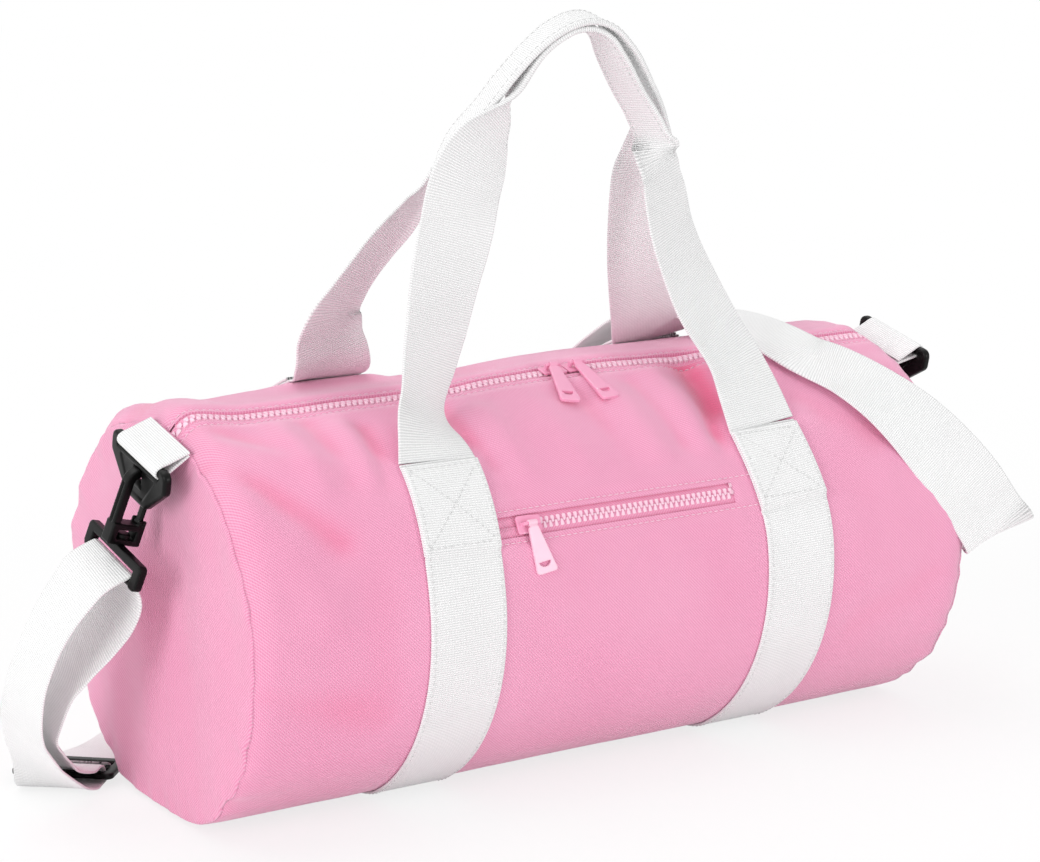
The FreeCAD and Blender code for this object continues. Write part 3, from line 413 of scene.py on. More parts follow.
back_route = [
    (-0.2320, 0.1080, 0.0012, 0.64, -0.77, 0.0),
    (-0.1900, 0.1380, 0.0012, 0.45, -0.89, 0.0),
    (-0.1300, 0.1570, 0.0012, 0.18, -0.98, 0.0),
    (-0.0800, 0.1640, 0.0012, 0.05, -0.99, 0.0),
    (-0.0400, 0.1630, 0.0030, 0.00, -0.99, 0.0),
    (-0.0080, 0.1600, 0.0160, -0.02, -0.99, 0.0),
    (0.0200, 0.1560, 0.0420, 0.02, -0.98, -0.10),
    (0.0420, 0.1490, 0.0740, 0.45, -0.75, -0.30),
    (0.0620, 0.1400, 0.1100, 0.86, -0.02, -0.44),
    (0.0820, 0.1270, 0.1520, 0.90, 0.11, -0.40),
    (0.1020, 0.1100, 0.1920, 0.89, 0.24, -0.36),
    (0.1190, 0.0870, 0.2270, 0.88, 0.40, -0.24),
    (0.1340, 0.0560, 0.2500, 0.90, 0.42, -0.12),
    (0.1490, 0.0220, 0.2510, 0.91, 0.40, 0.00),
    (0.1590, -0.0060, 0.2480, 0.89, 0.44, 0.08),
    (0.1665, -0.0300, 0.2420, 0.87, 0.47, 0.15),
]
front_run_route = [
    (0.1750, -0.0529, 0.2330, 0.88, 0.42, 0.21),
    (0.1924, -0.0701, 0.2228, 0.91, 0.35, 0.22),
    (0.2098, -0.0885, 0.2076, 0.92, 0.26, 0.28),
    (0.2204, -0.0991, 0.1958, 0.92, 0.16, 0.34),
    (0.2363, -0.1125, 0.1746, 0.89, 0.02, 0.45),
    (0.2546, -0.1220, 0.1499, 0.89, -0.06, 0.45),
    (0.2650, -0.1248, 0.1338, 0.91, -0.10, 0.40),
    (0.2743, -0.1254, 0.1208, 0.94, -0.18, 0.29),
]
front_route = [
    (0.2805, -0.1160, 0.1180, 0.92, -0.20, 0.33),
    (0.2870, -0.1010, 0.1185, 0.94, -0.10, 0.22),
    (0.2905, -0.0800, 0.1240, 0.92, 0.10, 0.10),
    (0.2935, -0.0540, 0.1315, 0.82, 0.45, -0.16),
    (0.2930, -0.0310, 0.1400, 0.52, 0.82, -0.12),
    (0.2885, -0.0180, 0.1520, 0.16, 0.97, 0.14),
]
end_route = [
    (0.2844, -0.0166, 0.1500, 0.16, 0.97, 0.14),
    (0.2890, -0.0290, 0.1360, 0.50, 0.83, -0.10),
]
wrap_steps = 6
left_wrap = (190.0, 60.0)
right_wrap = (-25.0, 200.0)

# Sizes that follow from those above
straight_half = half_length - shoulder_length
slot_spread = math.degrees(slot_half / barrel_radius)

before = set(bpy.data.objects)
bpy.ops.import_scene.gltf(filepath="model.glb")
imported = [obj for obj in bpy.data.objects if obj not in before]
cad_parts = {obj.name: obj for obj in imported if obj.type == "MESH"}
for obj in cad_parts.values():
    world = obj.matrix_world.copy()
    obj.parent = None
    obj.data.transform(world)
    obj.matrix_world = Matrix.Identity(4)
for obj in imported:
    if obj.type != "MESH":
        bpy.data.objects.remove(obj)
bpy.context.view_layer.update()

# Band of the wave texture at scale 1, and the colour sockets of a mix node
wave_band = math.pi / 10.0
mix_inputs = (0, 6, 7)
mix_output = 2


# Materials
def linear(red, green, blue):
    """A colour as seen on a screen, from 0 to 255, as the renderer takes it."""
    parts = []
    for value in (red, green, blue):
        share = value / 255.0
        parts.append(share / 12.92 if share < 0.04045 else ((share + 0.055) / 1.055) ** 2.4)
    return (*parts, 1.0)


class Nodes:
    """A material under construction, with short calls for its nodes."""

    def __init__(self, name):
        self.material = bpy.data.materials.new(name)
        self.material.use_nodes = True
        self.tree = self.material.node_tree
        self.shader = self.tree.nodes["Principled BSDF"]

    def add(self, kind, **settings):
        node = self.tree.nodes.new(kind)
        for key, value in settings.items():
            setattr(node, key, value)
        return node

    def link(self, source, target):
        self.tree.links.new(source, target)

    def noise(self, vector, scale, detail=3.0):
        node = self.add("ShaderNodeTexNoise")
        node.inputs["Scale"].default_value = scale
        node.inputs["Detail"].default_value = detail
        self.link(vector, node.inputs["Vector"])
        return node.outputs["Fac"]

    def wave(self, vector, direction, length, distortion=0.0, detail_scale=1.0):
        """Bands of that length in metres."""
        node = self.add("ShaderNodeTexWave", bands_direction=direction)
        bands = 2.0 if direction == "DIAGONAL" else 1.0
        node.inputs["Scale"].default_value = bands * wave_band / length
        node.inputs["Distortion"].default_value = distortion
        node.inputs["Detail Scale"].default_value = detail_scale
        self.link(vector, node.inputs["Vector"])
        return node.outputs["Fac"]

    def math(self, operation, first, second):
        node = self.add("ShaderNodeMath", operation=operation)
        for socket, value in zip(node.inputs, (first, second)):
            if isinstance(value, float):
                socket.default_value = value
            else:
                self.link(value, socket)
        return node.outputs["Value"]

    def ramp(self, factor, low, high, low_at=0.0, high_at=1.0):
        node = self.add("ShaderNodeValToRGB")
        node.color_ramp.elements[0].color = low
        node.color_ramp.elements[0].position = low_at
        node.color_ramp.elements[1].color = high
        node.color_ramp.elements[1].position = high_at
        self.link(factor, node.inputs["Fac"])
        return node.outputs["Color"]

    def scaled(self, value, share, base):
        """A share of the value on top of a base."""
        return self.math("ADD", self.math("MULTIPLY", value, share), base)

    def mix(self, factor, first, second):
        node = self.add("ShaderNodeMix", data_type="RGBA")
        for index, value in zip(mix_inputs, (factor, first, second)):
            if isinstance(value, (float, tuple)):
                node.inputs[index].default_value = value
            else:
                self.link(value, node.inputs[index])
        return node.outputs[mix_output]

    def bump(self, height, distance, strength):
        node = self.add("ShaderNodeBump")
        node.inputs["Distance"].default_value = distance
        node.inputs["Strength"].default_value = strength
        self.link(height, node.inputs["Height"])
        return node.outputs["Normal"]

    def finish(self, colour, roughness, normal, **values):
        self.link(colour, self.shader.inputs["Base Color"])
        if isinstance(roughness, float):
            self.shader.inputs["Roughness"].default_value = roughness
        else:
            self.link(roughness, self.shader.inputs["Roughness"])
        self.link(normal, self.shader.inputs["Normal"])
        for name, value in values.items():
            self.shader.inputs[name.replace("_", " ")].default_value = value
        return self.material


def twill_material(name, colour, shade, light):
    """Fine diagonal twill, the weave laid out in metres on the piece's own map, and deep pink painted shade
    where the piece marks its hollows.
    """
    nodes = Nodes(name)
    flat = nodes.add("ShaderNodeTexCoord").outputs["UV"]
    place = nodes.add("ShaderNodeTexCoord").outputs["Object"]
    lines = nodes.wave(flat, "DIAGONAL", twill_line, distortion=0.4, detail_scale=0.3)
    picks = nodes.wave(flat, "X", twill_pick, distortion=0.4, detail_scale=0.5)
    weave = nodes.scaled(lines, twill_line_share, nodes.math("MULTIPLY", picks, 1.0 - twill_line_share))
    cloud = nodes.noise(place, twill_clouds)
    fleck = nodes.noise(place, twill_flecks, fleck_detail)
    base = nodes.ramp(cloud, colour, light, *twill_cloud_shares)
    thread = nodes.ramp(weave, shade, light, *twill_weave_shares)
    mixed = nodes.mix(twill_weave_share, base, thread)
    speckled = nodes.mix(nodes.math("MULTIPLY", fleck, twill_fleck_share), mixed, light)
    # Painted shade: the twill turns deep pink where the piece marks a hollow
    painted_shade = nodes.add("ShaderNodeAttribute", attribute_name="painted_shade").outputs["Fac"]
    with_painted_shade = nodes.mix(nodes.math("MULTIPLY", painted_shade, twill_painted_shade_share), speckled, pink_painted_shade)
    bump = nodes.bump(weave, twill_relief, strength=0.7)
    least, added = twill_rough_shares
    rough = nodes.scaled(fleck, added, least)
    return nodes.finish(with_painted_shade, rough, bump, Sheen_Weight=1.0, Sheen_Roughness=0.42,
                        Sheen_Tint=pink_mist, Specular_IOR_Level=0.25)


def webbing_material(name):
    """White webbing: ribs across it, broken into columns, with a dull sheen."""
    nodes = Nodes(name)
    flat = nodes.add("ShaderNodeTexCoord").outputs["UV"]
    place = nodes.add("ShaderNodeTexCoord").outputs["Object"]
    ribs = nodes.wave(flat, "Y", webbing_rib, distortion=0.3, detail_scale=0.5)
    columns = nodes.wave(flat, "X", webbing_column, distortion=0.3, detail_scale=0.5)
    broken = nodes.scaled(columns, webbing_column_share, 1.0 - webbing_column_share)
    knit = nodes.math("MULTIPLY", ribs, broken)
    cloud = nodes.noise(place, webbing_clouds)
    fleck = nodes.noise(place, webbing_flecks, fleck_detail)
    thread = nodes.ramp(knit, webbing_shade, white, *webbing_weave_shares)
    base = nodes.ramp(cloud, webbing_plain, webbing_light, *webbing_cloud_shares)
    mixed = nodes.mix(webbing_weave_share, base, thread)
    bump = nodes.bump(knit, webbing_relief, strength=0.7)
    least, added = webbing_rough_shares
    rough = nodes.scaled(fleck, added, least)
    return nodes.finish(mixed, rough, bump, Sheen_Weight=0.15, Sheen_Roughness=0.5,
                        Specular_IOR_Level=0.3)


def moulded_material(name, colour, edge, roughness=0.24, grain=0.10, gloss=0.5):
    """Moulded plastic or paint: a fine skin, slightly paler along its sharpest edges."""
    nodes = Nodes(name)
    place = nodes.add("ShaderNodeTexCoord").outputs["Object"]
    skin = nodes.noise(place, plastic_flecks, fleck_detail)
    cloud = nodes.noise(place, plastic_clouds)
    # Paler along the sharpest edges, by the mesh's pointiness
    sharpness = nodes.add("ShaderNodeNewGeometry").outputs["Pointiness"]
    edge_toned = nodes.ramp(sharpness, colour, edge, *pale_edge_shares)
    mixed = nodes.mix(nodes.math("MULTIPLY", cloud, plastic_cloud_share), edge_toned, edge)
    bump = nodes.bump(skin, plastic_relief, grain)
    rough = nodes.scaled(cloud, plastic_rough_share, roughness)
    return nodes.finish(mixed, rough, bump, Specular_IOR_Level=gloss)


def thread_material(name, colour, shade):
    """Sewing thread, twisted from two plies."""
    nodes = Nodes(name)
    place = nodes.add("ShaderNodeTexCoord").outputs["Object"]
    twist = nodes.wave(place, "DIAGONAL", thread_twist, distortion=0.5, detail_scale=2.0)
    tint = nodes.ramp(twist, shade, colour)
    bump = nodes.bump(twist, thread_relief, strength=0.5)
    return nodes.finish(tint, thread_roughness, bump, Sheen_Weight=0.2)


pink = linear(243, 160, 195)
pink_shade = linear(229, 122, 168)
pink_light = linear(250, 186, 213)
# Deep pink of the painted shade in the fabric's hollows
pink_painted_shade = linear(244, 104, 146)
pink_mist = linear(253, 220, 234)
webbing_shade = linear(206, 207, 207)
webbing_plain = linear(245, 245, 245)
webbing_light = linear(253, 253, 253)
twill = twill_material("pink_twill", pink, pink_shade, pink_light)
tape_cloth = twill_material("zip_tape", linear(243, 156, 190), linear(232, 128, 170), linear(248, 178, 206))
lining_cloth = twill_material("lining", linear(232, 150, 182), linear(222, 136, 170), linear(238, 164, 193))
webbing = webbing_material("white_webbing")
black_plastic = moulded_material("black_plastic", linear(7, 7, 7), linear(20, 21, 20),
                                 roughness=0.26, grain=0.25, gloss=0.16)
tooth_plastic = moulded_material("tooth_plastic", linear(250, 200, 222), linear(254, 226, 238),
                                 roughness=0.30, grain=0.15)
slider_paint = moulded_material("slider_paint", linear(246, 162, 197), linear(252, 204, 224))
pull_paint = moulded_material("pull_paint", linear(247, 168, 201), linear(253, 216, 231))
pocket_pull_paint = moulded_material("pocket_pull_paint", linear(250, 200, 221), linear(254, 230, 240))
pink_thread = thread_material("pink_thread", linear(254, 222, 235), linear(250, 194, 217))
white_thread = thread_material("white_thread", linear(246, 246, 246), linear(205, 205, 205))


# Mesh helpers
def new_piece(name, points, faces, material, maps=None, painted_shades=None):
    """A mesh object, with a flat place in metres and a share of painted shade by point."""
    mesh = bpy.data.meshes.new(name)
    mesh.from_pydata([tuple(p) for p in points], [], faces)
    mesh.materials.append(material)
    if maps:
        layer = mesh.uv_layers.new(name="flat")
        for loop in mesh.loops:
            layer.data[loop.index].uv = maps[loop.vertex_index]
    # Painted shade by point, for the twill to darken its hollows
    if painted_shades:
        mesh.attributes.new("painted_shade", "FLOAT", "POINT").data.foreach_set("value", painted_shades)
    mesh.polygons.foreach_set("use_smooth", [True] * len(mesh.polygons))
    piece = bpy.data.objects.new(name, mesh)
    bpy.context.scene.collection.objects.link(piece)
    return piece


def outward(piece):
    """Turns the faces of the piece outward."""
    mesh = bmesh.new()
    mesh.from_mesh(piece.data)
    bmesh.ops.recalc_face_normals(mesh, faces=mesh.faces)
    mesh.to_mesh(piece.data)
    mesh.free()


def put(piece, body, slot, *nodes):
    """The piece rides on the body, in place of the CAD nodes. The slot is not used."""
    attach(piece, body)
    if nodes:
        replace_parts(piece, *nodes)
    return piece


def grid_faces(rows, columns, closed=False):
    faces = []
    for i in range(rows - 1):
        for j in range(columns if closed else columns - 1):
            right = (j + 1) % columns
            faces.append((i * columns + j, i * columns + right,
                          (i + 1) * columns + right, (i + 1) * columns + j))
    return faces


def steps_between(low, high, step):
    """Evenly spaced values from low to high, about a step apart."""
    count = max(1, round(abs(high - low) / step))
    return [low + (high - low) * i / count for i in range(count + 1)]


def smooth_step(low, high, value):
    share = min(max((value - low) / (high - low), 0.0), 1.0)
    return share * share * (3.0 - 2.0 * share)


def bell(value, place, width):
    return math.exp(-((value - place) / width) ** 2)


# The barrel's surface
def around(x, radius, angle):
    turn = math.radians(angle)
    return Vector((x, -radius * math.sin(turn), axis_height + radius * math.cos(turn)))


def soft_min(first, second, width):
    share = max(width - abs(first - second), 0.0) / width
    return min(first, second) - share * share * width / 4.0


def plain_radius(x, angle):
    """The barrel before its folds: round, drawn in at the ends, flat below."""
    along = max(abs(x) - straight_half, 0.0) / shoulder_length
    fall = along ** shoulder_power
    radius = barrel_radius - end_draw * fall
    drop = end_drop * fall
    turn = math.radians(angle)
    ring = math.sqrt(radius ** 2 - (drop * math.sin(turn)) ** 2) - drop * math.cos(turn)
    down = -math.cos(turn)
    if down < flat_down_share:
        return ring
    return soft_min(ring, flat_level / down, flat_blend)


def turn_from(angle, other):
    """The signed angle from another to this one, from -180 to 180."""
    return (angle - other + 180.0) % 360.0 - 180.0


def arc_of(angle):
    """The way round the barrel that an angle covers."""
    return barrel_radius * math.radians(angle)


def angle_of(arc):
    return math.degrees(arc / barrel_radius)


def fold_rise(place, start, end, rise, width):
    """How far a fold between two places lifts the fabric at a third."""
    way = end - start
    offset = place - start
    share = min(max(offset.dot(way) / way.length_squared, 0.0), 1.0)
    return rise * bell((offset - way * share).length, 0.0, width)


def folds_rise(folds, x, arc):
    """How far a list of folds lifts the barrel's fabric at one place."""
    height = 0.0
    for x0, angle0, x1, angle1, rise, width in folds:
        start = Vector((x0, arc_of(angle0)))
        end = Vector((x1, arc_of(angle1)))
        height += fold_rise(Vector((x, arc)), start, end, rise, width)
    return height


def pucker_rise(arc, seeds):
    """Uneven gathers along a seam, from -1 to 1 or so."""
    coarse, fine = seeds
    rise = noise.noise(Vector((arc / pucker_pitch, *coarse)))
    return rise + fine_pucker_share * noise.noise(Vector((arc / fine_pucker_pitch, *fine)))


def fold_height(x, angle, sags=1.0):
    """How far the fabric stands out of the plain barrel."""
    arc = arc_of(turn_from(angle, 0.0))
    place = Vector((x, arc, 0.0))
    height = billow_height * noise.noise(place / billow_size)
    height += crumple_height * noise.noise(place / crumple_size + Vector(crumple_seed))
    height += folds_rise(barrel_folds, x, arc) + sags * folds_rise(zip_sags, x, arc)
    edge = half_length - abs(x)
    pucker = pucker_rise(arc, barrel_pucker_seeds[1 if x > 0.0 else -1])
    height += pucker_height * pucker * math.exp(-edge / pucker_reach)
    beside = min(abs(x - band_place), abs(x + band_place)) - webbing_width / 2.0
    under = smooth_step(box_top - band_fade, box_top, abs(turn_from(angle, roll_angle)))
    height *= 1.0 - under * (1.0 - smooth_step(0.0, band_press, beside))
    resting = abs(turn_from(angle, 180.0))
    return height * smooth_step(rest_angle / 2.0, rest_angle, resting)


def painted_shade_share(x, angle):
    """Painted shade: from 0 on the rounded fabric to 1 deep in a hollow, where the colour turns deeper."""
    return smooth_step(0.0, painted_shade_depth, -fold_height(x, angle, 0.0))


def lip_height(apart):
    """The turned edge beside a zip: a rolled rim, a sewn line and a puff."""
    height = lip_roll * bell(apart, lip_roll, lip_stitch / 2.0)
    height -= lip_stitch_depth * bell(apart, lip_stitch, lip_stitch_width)
    return height + lip_puff * bell(apart, lip_puff_place, lip_puff_width)


def shell_radius(x, angle):
    """The outside of the fabric, with its folds and turned edges."""
    radius = plain_radius(x, angle) + fold_height(x, angle)
    main = arc_of(abs(turn_from(angle, roll_angle))) - slot_half
    radius += lip_height(max(main, 0.0))
    pocket = arc_of(abs(turn_from(angle, pocket_angle))) - slot_half
    beyond = max(pocket_left - x, x - pocket_right)
    radius += lip_height(max(pocket, 0.0)) * smooth_step(tape_outer, 0.0, beyond)
    return radius


def shell_point(x, angle, lift=0.0):
    return around(x, shell_radius(x, angle) + lift, angle)


def lines_with(values, stops):
    """The values with the nearest ones moved onto the stops."""
    moved = list(values)
    for stop in stops:
        near = min(range(len(moved)), key=lambda i: abs(moved[i] - stop))
        moved[near] = stop
    return moved


def axis_way(point):
    """The direction from the point to the barrel's axis."""
    return Vector((0.0, -point.y, axis_height - point.z)).normalized()


def turned_edges(piece, choose, depth):
    """Turns the chosen open edges in to the barrel's axis, twice by a depth."""
    mesh = bmesh.new()
    mesh.from_mesh(piece.data)
    edges = [e for e in mesh.edges if e.is_boundary and all(choose(v.co) for v in e.verts)]
    for _ in range(2):
        made = bmesh.ops.extrude_edge_only(mesh, edges=edges)["geom"]
        for point in made:
            if isinstance(point, bmesh.types.BMVert):
                point.co += axis_way(point.co) * depth
        edges = [e for e in made if isinstance(e, bmesh.types.BMEdge) and e.is_boundary]
    for face in mesh.faces:
        face.smooth = True
    bmesh.ops.recalc_face_normals(mesh, faces=mesh.faces)
    mesh.to_mesh(piece.data)
    mesh.free()


def build_barrel():
    """The barrel's fabric, open along the zip and at the pocket."""
    xs = lines_with(steps_between(-half_length, half_length, grid_step), (pocket_left, pocket_right))
    angles = steps_between(roll_angle + slot_spread, roll_angle + 360.0 - slot_spread, angle_of(grid_step))
    angles = lines_with(angles, (pocket_angle - slot_spread, pocket_angle + slot_spread))
    for offset in lip_lines:
        beside = angle_of(slot_half + offset)
        angles += [roll_angle + beside, roll_angle + 360.0 - beside]
        angles += [pocket_angle - beside, pocket_angle + beside]
    angles.sort()
    points = [shell_point(x, angle) for x in xs for angle in angles]
    maps = [(x, -arc_of(angle)) for x in xs for angle in angles]
    faces = []
    for face in grid_faces(len(xs), len(angles)):
        corner, beside, _, ahead = face
        x = (xs[corner // len(angles)] + xs[ahead // len(angles)]) / 2.0
        angle = (angles[corner % len(angles)] + angles[beside % len(angles)]) / 2.0
        inside = pocket_left < x < pocket_right and abs(angle - pocket_angle) < slot_spread
        if not inside:
            faces.append(face)
    # Painted shade by point, full deep in the hollows of the folds
    painted_shades = [painted_shade_share(x, angle) for x in xs for angle in angles]
    piece = new_piece("barrel_fabric", points, faces, twill, maps, painted_shades)

    def at_end(point):
        return abs(abs(point.x) - half_length) < layer_gap

    turned_edges(piece, at_end, seam_depth)
    turned_edges(piece, lambda point: not at_end(point), fabric)
    return put(piece, "bag", "twill", "barrel_panel")


def end_point(side, share, angle):
    """A point of an end panel, at a share of the way from its middle to the seam."""
    rim = around(0.0, shell_radius(side * half_length, angle), angle)
    middle = around(0.0, -end_drop, 0.0)
    flat = middle + (rim - middle) * share
    inset = (1.0 - share) * barrel_radius
    across = max(end_roll - inset, 0.0)
    out = math.sqrt(max(end_roll ** 2 - across ** 2, 0.0)) + end_dome * (1.0 - share ** 2)
    pucker = pucker_rise(arc_of(turn_from(angle, 0.0)), end_pucker_seeds[side])
    gather = bell(inset, end_roll, pucker_reach * end_pucker_share)
    gather *= smooth_step(0.0, end_roll / 2.0, inset)
    out += pucker_height * end_pucker_share * pucker * gather
    billow = noise.noise(Vector((flat.y, flat.z, side)) / billow_size)
    out += billow_height * billow * smooth_step(0.0, end_billow_share, 1.0 - share)
    place = Vector((flat.y, flat.z - axis_height))
    fade = smooth_step(0.0, end_fold_share, 1.0 - share)
    for (y0, z0, y1, z1), rise in zip(end_fold_shares, end_fold_heights):
        start = Vector((-y0, z0)) * barrel_radius
        end = Vector((-y1, z1)) * barrel_radius
        out += fade * fold_rise(place, start, end, rise, end_fold_width)
    return Vector((side * (half_length + out), flat.y, flat.z))


def build_end(side, name):
    """An end panel, its rim rolled over into the seam."""
    angles = steps_between(0.0, 360.0, angle_of(grid_step))[:-1]
    rolled = end_roll / barrel_radius
    shares = [1.0 - rolled * step / end_roll_steps for step in range(end_roll_steps + 1)]
    shares += steps_between(shares[-1], end_hub_share, grid_step * end_step_share / barrel_radius)[1:]
    points = []
    for angle in angles:
        rim = end_point(side, 1.0, angle)
        points.append(rim + axis_way(rim) * seam_depth)
    for share in shares:
        for angle in angles:
            points.append(end_point(side, share, angle))
    maps = [(p.y, p.z) for p in points]
    columns = len(angles)
    rows = len(shares) + 1
    faces = grid_faces(rows, columns, closed=True)
    faces.append(tuple(range((rows - 1) * columns, rows * columns)))
    piece = new_piece(name + "_end_fabric", points, faces, twill, maps)
    outward(piece)
    return put(piece, "bag", "twill", name + "_end_panel")


# Webbing
def smooth_rows(rows, step):
    """Rows of numbers, with further rows a step apart on a smooth curve."""
    last = len(rows) - 1
    gaps = [(Vector(b[0:3]) - Vector(a[0:3])).length for a, b in zip(rows, rows[1:])]
    rates = [[(d - c) / gap for c, d in zip(a, b)] for a, b, gap in zip(rows, rows[1:], gaps)]
    slopes = [rates[0]]
    for i in range(1, last):
        whole = gaps[i - 1] + gaps[i]
        slopes.append([(a * gaps[i] + b * gaps[i - 1]) / whole
                       for a, b in zip(rates[i - 1], rates[i])])
    slopes.append(rates[-1])
    result = []
    marks = [0]
    for i in range(last):
        count = max(2, round(gaps[i] / step))
        for part in range(count):
            t = part / count
            blend = t * t * (3.0 - 2.0 * t)
            leave = t * (1.0 - t) * (1.0 - t) * gaps[i]
            arrive = -t * t * (1.0 - t) * gaps[i]
            result.append(tuple(a * (1.0 - blend) + b * blend + m * leave + n * arrive
                                for a, b, m, n in zip(rows[i], rows[i + 1],
                                                      slopes[i], slopes[i + 1])))
        marks.append(len(result))
    result.append(tuple(rows[last]))
    return result, marks


def row_frames(rows):
    """Centre, width direction, normal, width, thickness and distance of rows."""
    frames = []
    last = len(rows) - 1
    travelled = 0.0
    for i, row in enumerate(rows):
        centre = Vector(row[0:3])
        way = (Vector(rows[min(i + 1, last)][0:3]) - Vector(rows[max(i - 1, 0)][0:3])).normalized()
        across = Vector(row[3:6])
        across = (across - way * across.dot(way)).normalized()
        if i:
            travelled += (centre - frames[-1][0]).length
        frames.append((centre, across, way.cross(across), row[6], row[7], travelled))
    return frames


def ribbon(name, frames, material, capped=True):
    """Webbing through the frames, with rounded edges."""
    points = []
    maps = []
    normals = []
    for centre, across, normal, width, thickness, travelled in frames:
        for wide, thick in webbing_shares:
            points.append(centre + across * (wide * width / 2.0) + normal * (thick * thickness / 2.0))
            maps.append((wide * width / 2.0, travelled))
            edge = wide * smooth_step(webbing_shares[2][0], webbing_shares[0][0], -abs(wide))
            normals.append((across * edge + normal * thick).normalized())
    columns = len(webbing_shares)
    faces = grid_faces(len(frames), columns, closed=True)
    if capped:
        faces.append(tuple(range(columns)))
        faces.append(tuple(range((len(frames) - 1) * columns, len(frames) * columns)))
    piece = new_piece(name, points, faces, material, maps)
    outward(piece)
    piece.data.normals_split_custom_set_from_vertices([tuple(normal) for normal in normals])
    return piece


def ribbon_line(frames, inset, face):
    """Points and normals of a line on the webbing, inset from one edge."""
    line = []
    for centre, across, normal, width, thickness, travelled in frames:
        side = width / 2.0 - abs(inset)
        side = side if inset > 0.0 else -side
        line.append((centre + across * side + normal * (face * thickness / 2.0), normal * face))
    return line


# Stitches
def stitch_shapes(line, points, faces):
    """Adds one stitch after another along a line of points and normals."""
    lengths = [0.0]
    for (a, _), (b, _) in zip(line, line[1:]):
        lengths.append(lengths[-1] + (b - a).length)

    def at(distance):
        index = 0
        while index < len(lengths) - 2 and lengths[index + 1] < distance:
            index += 1
        share = (distance - lengths[index]) / max(lengths[index + 1] - lengths[index], least_length)
        a, na = line[index]
        b, nb = line[index + 1]
        return a.lerp(b, share), na.lerp(nb, share).normalized()

    sides = grid_faces(len(stitch_shares), stitch_corners, closed=True)
    count = int(lengths[-1] / (stitch_length + stitch_gap))
    for i in range(count):
        start = i * (stitch_length + stitch_gap)
        faces += [tuple(len(points) + corner for corner in face) for face in sides]
        for share, size, lift in stitch_shares:
            centre, normal = at(start + share * stitch_length)
            ahead, _ = at(start + share * stitch_length + stitch_gap / 2.0)
            way = (ahead - centre).normalized()
            side = way.cross(normal).normalized()
            for corner in range(stitch_corners):
                turn = corner * 2.0 * math.pi / stitch_corners
                offset = side * math.cos(turn) + normal * (math.sin(turn) + lift)
                points.append(centre + offset * (stitch_radius * size))


def stitched(name, lines, material, body):
    points = []
    faces = []
    for line in lines:
        stitch_shapes(line, points, faces)
    piece = new_piece(name, points, faces, material)
    return put(piece, body, "thread")


def shell_line(places, lift=0.0):
    """A line on the barrel's fabric through places of x and angle."""
    line = []
    for x, angle in places:
        point = shell_point(x, angle, lift)
        line.append((point, -axis_way(point)))
    return line


# Zips
def zip_radius(x, angle):
    return plain_radius(x, angle) + fold_height(x, angle)


def zip_place(x, angle, across, lift):
    """A point beside a zip's line, on the barrel's own curve."""
    return around(x, zip_radius(x, angle) + lift, angle + angle_of(across))


def zip_tape(name, angle, side, x0, x1, node, inset=tape_inset):
    xs = steps_between(x0, x1, grid_step)
    face = [(tape_inner, -inset), (slot_half - inset, -inset),
            (slot_half + inset, -tape_tuck), (tape_outer, -tape_tuck)]
    outline = face + [(across, lift - tape_thickness) for across, lift in reversed(face)]
    points = []
    maps = []
    for x in xs:
        for across, lift in outline:
            turn = angle + side * angle_of(across)
            radius = min(zip_radius(x, angle), zip_radius(x, turn))
            points.append(around(x, radius + lift, turn))
            maps.append((x, across + lift))
    piece = new_piece(name, points, grid_faces(len(xs), len(outline), closed=True), tape_cloth, maps)
    return put(piece, "bag", "zip_tape", node)


def tooth_outline():
    """Half the moulded tooth seen from above: a narrow head and a broad foot."""
    head = tooth_head / 2.0
    foot = tooth_foot / 2.0
    return [(-tooth_overlap, head - 2.0 * tooth_edge),
            (tooth_edge - tooth_overlap, head - tooth_edge / 2.0),
            (2.0 * tooth_edge - tooth_overlap, head), (tooth_shoulder, head),
            (tooth_shoulder + tooth_edge, foot), (tooth_reach - tooth_edge, foot),
            (tooth_reach, foot - tooth_edge)]


def zip_teeth(name, angle, side, x0, x1, parted, node):
    half_outline = tooth_outline()
    outline = half_outline + [(across, -along) for across, along in reversed(half_outline)]
    layers = [(chain_lift - tooth_height, 1.0), (chain_lift - tooth_edge, 1.0),
              (chain_lift, tooth_top_share)]
    sides = grid_faces(len(layers), len(outline), closed=True)
    middle = (tooth_reach - tooth_overlap) / 2.0
    points = []
    faces = []
    start = x0 + (tooth_pitch / 2.0 if side > 0 else 0.0)
    for i in range(int((x1 - start) / tooth_pitch) + 1):
        place = start + i * tooth_pitch
        if parted[0] < place < parted[1]:
            continue
        faces += [tuple(len(points) + corner for corner in face) for face in sides]
        for lift, size in layers:
            for across, along in outline:
                wide = middle + (across - middle) * size
                points.append(zip_place(place + along * size, angle, side * wide, lift))
        faces.append(tuple(range(len(points) - len(outline), len(points))))
    piece = new_piece(name, points, faces, tooth_plastic)
    outward(piece)
    piece.data.polygons.foreach_set("use_smooth", [False] * len(faces))
    return put(piece, "bag", "zip_teeth", node)


# Moulded pieces
def widened(mesh, hub_node, wide, long):
    """Draws a pull out past the slider that holds its eye."""
    low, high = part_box(hub_node)
    hub = (Vector(low) + Vector(high)) / 2.0
    for vertex in mesh.vertices:
        offset = vertex.co - hub
        past = smooth_step(pull_eye, pull_grip, offset.length)
        stretch = 1.0 + (long - 1.0) * past
        vertex.co = hub + Vector((offset.x * (1.0 + (wide - 1.0) * past),
                                  offset.y * stretch, offset.z * stretch))
    return mesh


